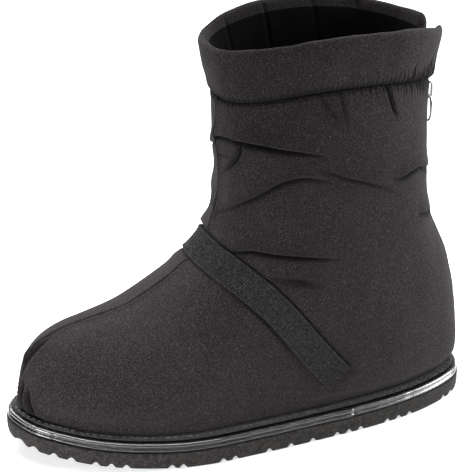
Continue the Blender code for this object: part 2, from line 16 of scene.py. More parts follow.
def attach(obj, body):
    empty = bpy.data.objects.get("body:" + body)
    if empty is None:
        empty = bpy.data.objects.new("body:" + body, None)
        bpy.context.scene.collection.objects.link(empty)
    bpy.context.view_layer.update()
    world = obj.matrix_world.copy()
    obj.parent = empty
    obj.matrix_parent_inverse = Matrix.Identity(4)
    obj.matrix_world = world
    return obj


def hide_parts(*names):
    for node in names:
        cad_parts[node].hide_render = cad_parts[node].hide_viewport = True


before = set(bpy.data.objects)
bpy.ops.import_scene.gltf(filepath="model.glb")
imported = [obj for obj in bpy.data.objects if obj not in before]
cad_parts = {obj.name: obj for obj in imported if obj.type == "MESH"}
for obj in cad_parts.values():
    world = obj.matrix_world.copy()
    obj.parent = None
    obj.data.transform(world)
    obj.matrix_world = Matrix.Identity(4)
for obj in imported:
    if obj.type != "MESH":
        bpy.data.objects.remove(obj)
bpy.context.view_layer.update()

# ---- outsole -----------------------------------------------------------
# A moulded slab of brownish black rubber. Rounded grooves run right across
# under it in twos and threes, and its plain side shows them as notches. The
# rubber is matt, with pale grit in it, and it is cemented to the midsole.

SOLE_LENGTH = 0.320
SOLE_HALF_WIDTH = 0.0605
HALF_LENGTH = SOLE_LENGTH / 2
TOE_SPRING = 0.0115
SPRING_LENGTH = 0.106
SPRING_START = SPRING_LENGTH - HALF_LENGTH
OUTSOLE_HEIGHT = 0.011
ARCH_LIFT = 0.0012
GROOVE_DEPTH = 0.0025
GROOVE_WIDTH = 0.0052
ARCH_FROM = -0.02
ARCH_TO = 0.07
ARCH_EASE = 0.04
OUTSOLE_STATIONS = 901
UNDERSIDE_STRIPS = 6
WELD_DISTANCE = 2e-6

# turn (0 at the toe, 1 at the heel), outer edge, inner edge (shares)
OUTLINE = [
    (0.00, -0.08, 0.08), (0.06, 0.125, 0.28), (0.12, 0.350, 0.50),
    (0.18, 0.530, 0.69), (0.25, 0.735, 0.88), (0.32, 0.885, 0.985),
    (0.40, 0.995, 1.00), (0.48, 0.970, 0.93), (0.56, 0.910, 0.865),
    (0.64, 0.835, 0.85), (0.72, 0.720, 0.845), (0.80, 0.545, 0.72),
    (0.88, 0.335, 0.51), (0.94, 0.120, 0.31), (1.00, -0.08, 0.08),
]

# place and spacing (shares of the sole's length), number of grooves
LUG_GROOVES = [
    (0.0250, 0.020, 2), (0.0830, 0.030, 2), (0.1690, 0.028, 3),
    (0.2950, 0.022, 2), (0.4010, 0.026, 2), (0.5130, 0.049, 2),
    (0.5875, 0.000, 1), (0.6720, 0.028, 3), (0.7950, 0.029, 3),
    (0.9375, 0.025, 2),
]


def smooth_table(rows, column, shares):
    """Read one column of a table at any shares, as a smooth curve."""
    xs = np.array([row[0] for row in rows])
    ys = np.array([row[column] for row in rows])
    slopes = np.gradient(ys, xs)
    shares = np.clip(np.asarray(shares, dtype=float), xs[0], xs[-1])
    cell = np.clip(np.searchsorted(xs, shares, side="right") - 1, 0, len(xs) - 2)
    width = xs[cell + 1] - xs[cell]
    t = (shares - xs[cell]) / width
    start = ys[cell] * (1 + 2 * t) * (1 - t) ** 2
    end = ys[cell + 1] * t * t * (3 - 2 * t)
    lean = slopes[cell] * t * (1 - t) ** 2 - slopes[cell + 1] * t * t * (1 - t)
    return start + end + lean * width


def ease(value):
    """Go from 0 to 1 with level ends."""
    value = np.clip(value, 0.0, 1.0)
    return value * value * (3 - 2 * value)


def spring(y):
    """The toe's lift over the floor at a place along the boot."""
    reach = np.clip((SPRING_START - np.asarray(y)) / SPRING_LENGTH, 0.0, None)
    return TOE_SPRING * reach ** 2


def sole_edge(turns, side, inset=0.0):
    """Points on the sole's outline, moved inward; side 1 is the outer edge."""
    turns = np.asarray(turns, dtype=float)
    inset = np.asarray(inset, dtype=float)

    def raw(at):
        mirrored = np.where(at < 0, -at, np.where(at > 1, 2 - at, at))
        column = np.where((at < 0) | (at > 1), -side, side)
        outer = smooth_table(OUTLINE, 1, mirrored)
        inner = -smooth_table(OUTLINE, 2, mirrored)
        x = np.where(column > 0, outer, inner) * SOLE_HALF_WIDTH
        return np.stack([x, -HALF_LENGTH * np.cos(np.pi * mirrored)], axis=-1)

    along = raw(turns + 1e-4) - raw(turns - 1e-4)
    along /= np.linalg.norm(along, axis=-1, keepdims=True)
    inward = np.stack([-along[..., 1], along[..., 0]], axis=-1) * side
    return raw(turns) + inward * inset[..., None]


def wrapped_faces(rows, columns, round_columns=True, round_rows=False):
    """Quads over a grid of rows and columns, wrapped where the grid closes."""
    faces = []
    for i in range(rows if round_rows else rows - 1):
        a = i * columns
        b = (i + 1) % rows * columns
        for j in range(columns if round_columns else columns - 1):
            k = (j + 1) % columns
            faces.append((a + j, a + k, b + k, b + j))
    return faces


def weld_seams(mesh):
    """Join the points that lie on one another and turn every face outward."""
    weld = bmesh.new()
    weld.from_mesh(mesh)
    bmesh.ops.remove_doubles(weld, verts=weld.verts, dist=WELD_DISTANCE)
    bmesh.ops.recalc_face_normals(weld, faces=weld.faces)
    weld.to_mesh(mesh)
    weld.free()


def placed(name, data):
    """A new object in the scene, at the origin."""
    made = bpy.data.objects.new(name, data)
    bpy.context.scene.collection.objects.link(made)
    return made


def run_along(path):
    """The length walked along a path to each of its points."""
    return np.concatenate([[0], np.cumsum(np.linalg.norm(np.diff(path, axis=0), axis=1))])


def shaped(name, vertices, faces, finish, body, node=None):
    """A welded, smooth piece with its faces out, riding on its body."""
    mesh = bpy.data.meshes.new(name)
    mesh.from_pydata(np.asarray(vertices).tolist(), [], faces)
    weld_seams(mesh)
    mesh.shade_smooth()
    mesh.materials.append(finish)
    made = placed(name, mesh)
    if node:
        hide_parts(node)
    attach(made, body)
    return made


class Term:
    """A number or colour that a material works out; sums add Math nodes."""

    def __init__(self, tree, socket):
        self.tree = tree
        self.socket = socket

    def maths(self, operation, first, second):
        made = self.tree.nodes.new("ShaderNodeMath")
        made.operation = operation
        for place, value in enumerate((first, second)):
            if isinstance(value, Term):
                self.tree.links.new(value.socket, made.inputs[place])
            else:
                made.inputs[place].default_value = value
        return Term(self.tree, made.outputs[0])

    def __add__(self, other):
        return self.maths("ADD", self, other)

    def __radd__(self, other):
        return self.maths("ADD", other, self)

    def __mul__(self, other):
        return self.maths("MULTIPLY", self, other)

    def __gt__(self, other):
        return self.maths("GREATER_THAN", self, other)

    def __lt__(self, other):
        return self.maths("LESS_THAN", self, other)


class Finish:
    """A material whose nodes lead to its Principled shader."""

    def __init__(self, name, **steady):
        self.material = bpy.data.materials.new(name)
        self.material.use_nodes = True
        self.tree = self.material.node_tree
        self.shader = self.tree.nodes["Principled BSDF"]
        for socket, value in steady.items():
            self.shader.inputs[socket.replace("_", " ")].default_value = value

    def node(self, kind, settings, sockets, output=0):
        """Add any node: its settings, then the values or links of its sockets."""
        made = self.tree.nodes.new("ShaderNode" + kind)
        for setting, value in settings.items():
            if setting == "stops":
                stops = made.color_ramp.elements
                stops[1].position = value[-1][0]
                stops[0].position = value[0][0]
                for place, _ in value[1:-1]:
                    stops.new(place)
                for stop, (_, shade) in zip(stops, value):
                    stop.color = shade
            else:
                setattr(made, setting, value)
        for socket, value in sockets.items():
            if isinstance(value, Term):
                self.tree.links.new(value.socket, made.inputs[socket])
            else:
                made.inputs[socket].default_value = value
        return Term(self.tree, made.outputs[output])

    def place(self):
        """The piece's own coordinates, in metres."""
        return self.node("TexCoord", {}, {}, output=3)

    def grain(self, size, detail=2.0, roughness=0.5):
        """Cloudy noise whose blotches are about this size, in metres."""
        return self.node("TexNoise", {}, {
            "Vector": self.place(), "Scale": 1 / size,
            "Detail": detail, "Roughness": roughness,
        })

    def between(self, amount, low, high):
        """A colour between two others."""
        return self.node(
            "Mix", {"data_type": "RGBA"}, {0: amount, 6: low, 7: high}, output=2)

    def ramp(self, amount, stops):
        """A number read off a ramp of grey stops."""
        grey = [(place, (shade, shade, shade, 1)) for place, shade in stops]
        return self.node("ValToRGB", {"stops": grey}, {"Fac": amount})

    def relief(self, height, depth, strength=1.0):
        """Bump the surface by a height from 0 to 1, this many metres deep."""
        bump = self.node("Bump", {}, {
            "Height": height, "Distance": depth, "Strength": strength})
        self.feed("Normal", bump)

    def feed(self, socket, term):
        self.tree.links.new(term.socket, self.shader.inputs[socket])


def grit_rubber():
    """Matt rubber, mottled brown and grey, with pale grit and floor dust."""
    finish = Finish("grit rubber", Roughness=0.8, Specular_IOR_Level=0.35)
    mottle = finish.grain(0.0032, 3.0, 0.6)
    speck = finish.ramp(finish.grain(0.0012, 2.0), [(0.54, 0.0), (0.70, 1.0)])
    low = (0.0025, 0.0021, 0.0020, 1)
    high = (0.0185, 0.0158, 0.0146, 1)
    body = finish.between(finish.ramp(mottle, [(0.42, 0.0), (0.58, 1.0)]), low, high)
    shade = finish.between(speck * 0.45, body, (0.080, 0.072, 0.066, 1))
    finish.feed("Base Color", shade)
    finish.feed("Roughness", 0.68 + mottle * 0.25)
    finish.relief(mottle * 0.6 + speck * 0.4, 0.0004, 0.8)
    return finish.material


def groove_lift(y):
    """How far the tread is hollowed over the floor at a place along it."""
    depth = np.zeros(np.shape(y))
    for place, spacing, number in LUG_GROOVES:
        for i in range(number):
            share = place + spacing * (i - (number - 1) / 2)
            away = (y - (share * SOLE_LENGTH - HALF_LENGTH)) / GROOVE_WIDTH
            hollow = np.where(np.abs(away) < 0.5, np.cos(np.pi * away) ** 1.3, 0)
            depth = np.maximum(depth, GROOVE_DEPTH * hollow)
    return depth


# inset (metres), height (share of the side)
OUTSOLE_SIDE = [
    (0.0030, 1.00), (0.0006, 1.00), (0.0001, 0.96), (0.0, 0.86), (0.0, 0.55),
    (0.0002, 0.30), (0.0006, 0.12), (0.0012, 0.03), (0.0022, 0.0), (0.0050, 0.0),
]


def outsole_line(side, inset, share):
    """One line along the slab's side, at an inset and a share of its height."""
    turns = np.linspace(0, 1, OUTSOLE_STATIONS)
    point = sole_edge(turns, side, np.full(OUTSOLE_STATIONS, inset))
    y = point[:, 1]
    rise = ARCH_LIFT * ease((y - ARCH_FROM) / ARCH_EASE)
    arch = rise * ease((ARCH_TO - y) / ARCH_EASE) * (side < 0)
    low = groove_lift(y) + arch
    z = spring(y) + low * (1 - share) ** 2 + OUTSOLE_HEIGHT * share
    return np.stack([point[:, 0], y, z], axis=1)


lines = [outsole_line(1, inset, share) for inset, share in OUTSOLE_SIDE]
near = lines[-1]
far = outsole_line(-1, *OUTSOLE_SIDE[-1])
for step in range(1, UNDERSIDE_STRIPS):
    lines.append(near + (far - near) * step / UNDERSIDE_STRIPS)
lines += [outsole_line(-1, inset, share) for inset, share in reversed(OUTSOLE_SIDE)]
tread = np.stack(lines, axis=1)
shaped("tread_slab", tread.reshape(-1, 3),
       wrapped_faces(OUTSOLE_STATIONS, tread.shape[1]), grit_rubber(), "boot", "outsole")

# ---- midsole -----------------------------------------------------------
# A plain foam board between the outsole and the upper. The binding hides its
# edge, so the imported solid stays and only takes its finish.

foam = Finish("dark foam", Roughness=0.9)
cells = foam.grain(0.0009, 3.0, 0.6)
foam.feed("Base Color", foam.between(cells, (0.018, 0.018, 0.019, 1), (0.034, 0.034, 0.036, 1)))
foam.relief(cells, 0.0002)
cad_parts["midsole"].material_slots[0].material = foam.material

# ---- binding -----------------------------------------------------------
# A strip of black coated vinyl, folded over the platform's edge and drawn
# tight round it, so its side stands in two rolls with a shallow waist. Its
# end laps over its start at the heel's outer side, and a splice shows at the
# toe.

GAP = 0.0003
BINDING_BASE = OUTSOLE_HEIGHT + GAP
BINDING_HEIGHT = 0.006
BINDING_WIDTH = 0.010
BINDING_INSET = 0.0012
BINDING_OVERLAP = 0.0007
OVERLAP_PLACE = 0.058
OVERLAP_LENGTH = 0.022
OVERLAP_STEP = 0.0006
SPLICE_PLACE = -0.139
SPLICE_DEPTH = 0.0005
BINDING_STATIONS = 520
BINDING_STEPS = 34

# step round the section, inward, upward (shares of its width and height)
BINDING_SECTION = [
    (0.00, 1.00, 0.00), (0.08, 0.30, 0.00), (0.14, 0.09, 0.00),
    (0.20, 0.015, 0.09), (0.28, -0.030, 0.22), (0.36, 0.030, 0.37),
    (0.44, 0.110, 0.46), (0.52, 0.055, 0.56), (0.60, -0.01, 0.72),
    (0.68, 0.040, 0.90), (0.75, 0.15, 1.000), (0.84, 0.30, 1.00),
    (0.92, 0.62, 0.985), (1.00, 1.00, 0.98),
]


def patent_vinyl():
    """Black coated vinyl, glossy, with a fine pebble and rubbed high spots."""
    finish = Finish("patent vinyl", IOR=1.7, Coat_Weight=1.0, Coat_IOR=1.6)
    pebble = finish.grain(0.0011, 3.0, 0.7)
    wave = finish.grain(0.009, 2.0)
    finish.feed("Base Color", finish.between(
        wave, (0.0025, 0.0025, 0.003, 1), (0.008, 0.0078, 0.008, 1)))
    finish.feed("Roughness", 0.08 + pebble * 0.22)
    finish.relief(pebble * 0.65 + wave * 0.35, 0.0008, 0.8)
    return finish.material


def round_the_sole(count):
    """Turns and sides for one walk round the sole: out along +X, back on -X."""
    outer = np.linspace(0, 1, count + 1)
    turns = np.concatenate([outer, outer[1:-1][::-1]])
    sides = np.concatenate([np.ones(count + 1), -np.ones(count - 1)])
    return turns, sides


def lumps(points, frequency, shift=(0, 0, 0)):
    """Smooth unevenness at each point, between about -1 and 1."""
    return np.array([noise.noise(Vector(p) * frequency + Vector(shift)) for p in points])


def edge_points(turns, sides, inset, height):
    """Points round the sole at an inset from its outline, bent with the toe."""
    outer = sole_edge(turns, 1, inset)
    inner = sole_edge(turns, -1, inset)
    plan = np.where((sides > 0)[:, None], outer, inner)
    return np.column_stack([plan, height + spring(plan[:, 1])])


turns, sides = round_the_sole(BINDING_STATIONS)
steps = np.linspace(0, 1, BINDING_STEPS)
inward = smooth_table(BINDING_SECTION, 1, steps)
upward = smooth_table(BINDING_SECTION, 2, steps)
line = edge_points(turns, sides, np.zeros(len(turns)), 0.0)
lap = np.where((sides > 0) & (line[:, 1] < OVERLAP_PLACE),
               ease((line[:, 1] - OVERLAP_PLACE + OVERLAP_LENGTH) / OVERLAP_LENGTH), 0)
lap_cut = np.where(sides > 0, np.exp(-((line[:, 1] - OVERLAP_PLACE - 0.0004) / 0.0005) ** 2), 0)
splice = np.where(sides > 0, np.exp(-((line[:, 1] - SPLICE_PLACE) / 0.0006) ** 2), 0)
ripple = lumps(line, 90) * 0.00022 + lumps(line, 330) * 0.00008
loops = []
for across, up in zip(inward, upward):
    shown = math.exp(-(max(across, 0) / 0.35) ** 2)
    out = BINDING_OVERLAP * lap - OVERLAP_STEP * lap_cut - SPLICE_DEPTH * splice + ripple
    inset = BINDING_INSET + across * BINDING_WIDTH - out * shown
    lift = 0.5 * ripple * shown * math.sin(up * math.pi)
    loops.append(edge_points(turns, sides, inset, BINDING_BASE + up * BINDING_HEIGHT + lift))
binding = np.stack(loops, axis=1)
shaped("edge_binding", binding.reshape(-1, 3),
       wrapped_faces(len(turns), BINDING_STEPS, True, True), patent_vinyl(), "boot", "binding")

# ---- welt --------------------------------------------------------------
# The upper is turned out over a narrow strip and lock stitched down through
# it. The strip is black woven tape, lumpy between its stitches and hollow
# under its lip, and its grey thread is uneven and fluffy with wear.

PLATFORM_TOP = BINDING_BASE + BINDING_HEIGHT
WELT_BASE = PLATFORM_TOP + GAP
WELT_HEIGHT = 0.0022
WELT_TOP = WELT_BASE + WELT_HEIGHT
UPPER_INSET = 0.0080
UPPER_WALL = 0.0045
WELT_LEDGE = 0.0040
WELT_OUTER = UPPER_INSET - WELT_LEDGE
WELT_STITCH_PITCH = 0.0046
WELT_STITCH_LENGTH = 0.0034
WELT_THREAD = 0.0012
WELT_UNEVENNESS = 0.35
WELT_STITCH_INSET = 0.0018
WELT_LUMP_OUT = 0.0011
WELT_LUMP_UP = 0.0008
WELT_STATIONS = 900
WELT_STEPS = 22

# step round the section, inset (metres), height (share of the welt's)
WELT_SECTION = [
    (0.00, UPPER_INSET + UPPER_WALL, 0.0), (0.10, WELT_OUTER + 0.0022, 0.0),
    (0.20, WELT_OUTER + 0.0014, 0.12), (0.30, WELT_OUTER + 0.0011, 0.36),
    (0.38, WELT_OUTER + 0.0003, 0.50), (0.46, WELT_OUTER, 0.70),
    (0.56, WELT_OUTER + 0.0003, 0.92), (0.66, WELT_OUTER + 0.0012, 1.00),
    (0.80, WELT_OUTER + 0.0030, 0.96), (1.00, UPPER_INSET + UPPER_WALL, 0.94),
]


def woven_tape(name, dark, pale, pitch):
    """Black woven tape with a fine cross grain and soft, paler clouds."""
    finish = Finish(name, Roughness=0.75, Specular_IOR_Level=0.3, Sheen_Weight=0.08)
    yarn = finish.grain(pitch, 2.0, 0.6)
    cloud = finish.grain(0.009, 3.0)
    finish.feed("Base Color", finish.between(yarn * 0.7 + cloud * 0.3, dark, pale))
    finish.relief(yarn, pitch * 0.5)
    return finish.material


def sewing_thread(name, dark, pale):
    """Spun thread, duller in places, with loose fibre on it."""
    finish = Finish(name, Roughness=0.75, Specular_IOR_Level=0.2)
    fibre = finish.grain(0.0006, 3.0, 0.7)
    patch = finish.grain(0.011, 2.0)
    finish.feed("Base Color", finish.between(fibre * 0.5 + patch * 0.5, dark, pale))
    finish.relief(fibre, 0.0003)
    return finish.material


def stitch_tree(name, finish, seed):
    """A Geometry Nodes tree that lays one short thread at each point."""
    tree = bpy.data.node_groups.new(name, "GeometryNodeTree")
    face = tree.interface
    face.new_socket("Geometry", in_out="INPUT", socket_type="NodeSocketGeometry")
    for label in ("Length", "Width", "Height", "Unevenness"):
        face.new_socket(label, in_out="INPUT", socket_type="NodeSocketFloat")
    face.new_socket("Geometry", in_out="OUTPUT", socket_type="NodeSocketGeometry")

    def add(kind, sockets=(), **settings):
        made = tree.nodes.new(kind)
        for setting, value in settings.items():
            setattr(made, setting, value)
        for socket, value in dict(sockets).items():
            if isinstance(value, bpy.types.NodeSocket):
                tree.links.new(value, made.inputs[socket])
            else:
                made.inputs[socket].default_value = value
        return made

    given = add("NodeGroupInput")
    ends = add("NodeGroupOutput")
    points = add("GeometryNodeMeshToPoints", {"Mesh": given.outputs["Geometry"]})
    bead = add("GeometryNodeMeshUVSphere", {"Segments": 7, "Rings": 5, "Radius": 0.5})
    along = add("GeometryNodeInputNamedAttribute", {"Name": "along"}, data_type="FLOAT_VECTOR")
    out = add("GeometryNodeInputNamedAttribute", {"Name": "out"}, data_type="FLOAT_VECTOR")
    turned = add("FunctionNodeAxesToRotation", {
        "Primary Axis": along.outputs["Attribute"],
        "Secondary Axis": out.outputs["Attribute"],
    }, primary_axis="X", secondary_axis="Z")
    size = add("ShaderNodeCombineXYZ", {
        "X": given.outputs["Length"], "Y": given.outputs["Width"], "Z": given.outputs["Height"]})
    low = add("ShaderNodeMath", {0: 1.0, 1: given.outputs["Unevenness"]}, operation="SUBTRACT")
    high = add("ShaderNodeMath", {0: 1.0, 1: given.outputs["Unevenness"]}, operation="ADD")
    chance = add("FunctionNodeRandomValue", {
        2: low.outputs[0], 3: high.outputs[0], "Seed": seed}, data_type="FLOAT")
    scaled = add("ShaderNodeVectorMath", {
        0: size.outputs[0], "Scale": chance.outputs[1]}, operation="SCALE")
    laid = add("GeometryNodeInstanceOnPoints", {
        "Points": points.outputs[0], "Instance": bead.outputs["Mesh"],
        "Rotation": turned.outputs[0], "Scale": scaled.outputs[0]})
    real = add("GeometryNodeRealizeInstances", {0: laid.outputs[0]})
    smooth = add("GeometryNodeSetShadeSmooth", {0: real.outputs[0]})
    coloured = add("GeometryNodeSetMaterial", {0: smooth.outputs[0], "Material": finish})
    tree.links.new(coloured.outputs[0], ends.inputs[0])
    return tree


def sewn(name, places, along, out, sizes, finish, body, seed):
    """Lay repeated stitches or teeth at places; sizes are length, width, height, unevenness."""
    seeds = bpy.data.meshes.new(name + "_places")
    seeds.from_pydata(np.asarray(places).tolist(), [], [])
    for label, values in (("along", along), ("out", out)):
        layer = seeds.attributes.new(label, "FLOAT_VECTOR", "POINT")
        layer.data.foreach_set("vector", np.asarray(values, dtype=float).ravel())
    source = placed(name + "_places", seeds)
    tree = stitch_tree(name + " layout", finish, seed)
    layout = source.modifiers.new("layout", "NODES")
    layout.node_group = tree
    inputs = [item for item in tree.interface.items_tree
              if item.item_type == "SOCKET" and item.in_out == "INPUT"][1:]
    for item, size in zip(inputs, sizes):
        layout[item.identifier] = size
    depsgraph = bpy.context.evaluated_depsgraph_get()
    mesh = bpy.data.meshes.new_from_object(source.evaluated_get(depsgraph))
    source.modifiers.remove(layout)
    bpy.data.objects.remove(source, do_unlink=True)
    mesh.name = name
    made = placed(name, mesh)
    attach(made, body)
    return made


def spaced(path, pitch):
    """Even places along a path, and the path's direction at each."""
    path = np.asarray(path)
    run = run_along(path)
    at = np.arange(pitch / 2, run[-1], pitch)
    places = np.column_stack([np.interp(at, run, path[:, k]) for k in range(3)])
    ahead = np.column_stack([np.interp(at + pitch / 4, run, path[:, k]) for k in range(3)])
    behind = np.column_stack([np.interp(at - pitch / 4, run, path[:, k]) for k in range(3)])
    heading = ahead - behind
    return places, heading / np.linalg.norm(heading, axis=1, keepdims=True)


welt_turns, welt_sides = round_the_sole(WELT_STATIONS)
welt_steps = np.linspace(0, 1, WELT_STEPS)
welt_wave = edge_points(welt_turns, welt_sides, np.zeros(len(welt_turns)), 0.0)
welt_ripple = lumps(welt_wave, 430)
loops = []
for inset, share in zip(smooth_table(WELT_SECTION, 1, welt_steps),
                        smooth_table(WELT_SECTION, 2, welt_steps)):
    free = math.exp(-((inset - WELT_OUTER) / 0.0025) ** 2) * share
    lump = free * welt_ripple
    loops.append(edge_points(welt_turns, welt_sides, inset - WELT_LUMP_OUT * lump,
                             WELT_BASE + share * WELT_HEIGHT + WELT_LUMP_UP * lump))
welt = np.stack(loops, axis=1)
TAPE = woven_tape("welt tape", (0.0035, 0.0035, 0.0036, 1), (0.040, 0.038, 0.039, 1), 0.0011)
shaped("stitched_welt", welt.reshape(-1, 3),
       wrapped_faces(len(welt_turns), WELT_STEPS, True, True), TAPE, "boot", "welt")

PALE_THREAD = sewing_thread("pale thread", (0.012, 0.012, 0.012, 1), (0.15, 0.147, 0.148, 1))
stitch_inset = np.full(len(welt_turns), WELT_OUTER + WELT_STITCH_INSET)
stitch_line = edge_points(welt_turns, welt_sides, stitch_inset, WELT_TOP + 0.0001)
stitch_line = np.vstack([stitch_line, stitch_line[:1]])
places, headings = spaced(stitch_line, WELT_STITCH_PITCH)
upright = np.tile([0.0, 0.0, 1.0], (len(places), 1))
sewn("welt_stitches", places, headings, upright,
     (WELT_STITCH_LENGTH, WELT_THREAD, WELT_THREAD * 0.8, WELT_UNEVENNESS),
     PALE_THREAD, "boot", 3)

# ---- insole ------------------------------------------------------------
# A loose felt board on the platform inside the boot, grey and flat, with a
# rounded cut edge.

INSOLE_HEIGHT = 0.004
INSOLE_INSET = UPPER_INSET + UPPER_WALL + 4 * GAP

felt = Finish("insole felt", Roughness=0.95, Sheen_Weight=0.3)
fuzz = felt.grain(0.0010, 4.0, 0.7)
tufts = felt.grain(0.007, 3.0)
felt.feed("Base Color", felt.between(
    fuzz * 0.6 + tufts * 0.4, (0.022, 0.022, 0.023, 1), (0.060, 0.060, 0.062, 1)))
felt.relief(fuzz, 0.0006)

# inset (metres), height (share of the board's)
INSOLE_SIDE = [(0.0012, 0.0), (0.0, 0.15), (0.0, 0.80), (0.0008, 0.98), (0.004, 1.0)]
INSOLE_STATIONS = 161
INSOLE_STRIPS = 12


def insole_line(side, inset, share):
    """One line along the board's edge, at an inset and a share of its height."""
    turns = np.linspace(0, 1, INSOLE_STATIONS)
    edge = sole_edge(turns, side, np.full(INSOLE_STATIONS, INSOLE_INSET + inset))
    return np.column_stack([edge, WELT_BASE + share * INSOLE_HEIGHT + spring(edge[:, 1])])


lines = [insole_line(1, inset, share) for inset, share in INSOLE_SIDE]
near = lines[-1]
far = insole_line(-1, *INSOLE_SIDE[-1])
for step in range(1, INSOLE_STRIPS):
    lines.append(near + (far - near) * step / INSOLE_STRIPS)
lines += [insole_line(-1, inset, share) for inset, share in reversed(INSOLE_SIDE)]
insole = np.stack(lines, axis=1)
shaped("felt_insole", insole.reshape(-1, 3),
       wrapped_faces(INSOLE_STATIONS, insole.shape[1]), felt.material, "boot", "insole")

# ---- upper -------------------------------------------------------------
# Two halves of padded cloth, joined by one seam from the toe over the instep
# to the collar, with the zip's slot up the back. The black cloth has a fine
# pale nap, over 4 mm of wadding, so it creases in soft folds, which painted
# shade darkens.

UPPER_BASE = WELT_TOP + GAP
UPPER_BULGE = 0.0040
INSTEP_RISE = 0.1050
COLLAR_HEIGHT = 0.2360
COLLAR_RISE = 0.0015
COLLAR_DIP = 0.0105
SHAFT_LENGTH = 0.1450
SHAFT_HALF_WIDTH = 0.0500
SHAFT_CENTRE = 0.0520
RING_TILT = 0.030
THROAT_BLEND = 0.016
ZIP_BOTTOM = 0.0700
ZIP_SLOT = 0.0090

# turn, height of the foot over the welt (share of the instep's rise)
VAMP = [
    (0.00, 0.05), (0.035, 0.155), (0.07, 0.262), (0.12, 0.372), (0.16, 0.446),
    (0.22, 0.530), (0.28, 0.598), (0.32, 0.655), (0.37, 0.780), (0.41, 0.895),
    (0.44, 1.000), (0.52, 1.120), (0.65, 1.100), (0.80, 0.900), (0.92, 0.600),
    (1.00, 0.100),
]

# height (share of the collar's), front, back (shares of half the shaft's
# length, from its centre), half width (share of the shaft's)
SHAFT = [
    (0.085, -0.94, 1.350, 0.84), (0.150, -0.95, 1.370, 0.93),
    (0.250, -0.96, 1.330, 0.99), (0.350, -0.97, 1.250, 1.00),
    (0.450, -0.98, 1.160, 0.98), (0.550, -0.980, 1.080, 0.965),
    (0.680, -0.975, 1.020, 0.965), (0.820, -0.970, 0.990, 0.985),
    (0.940, -0.990, 0.980, 1.00), (1.000, -0.990, 0.980, 1.00),
]

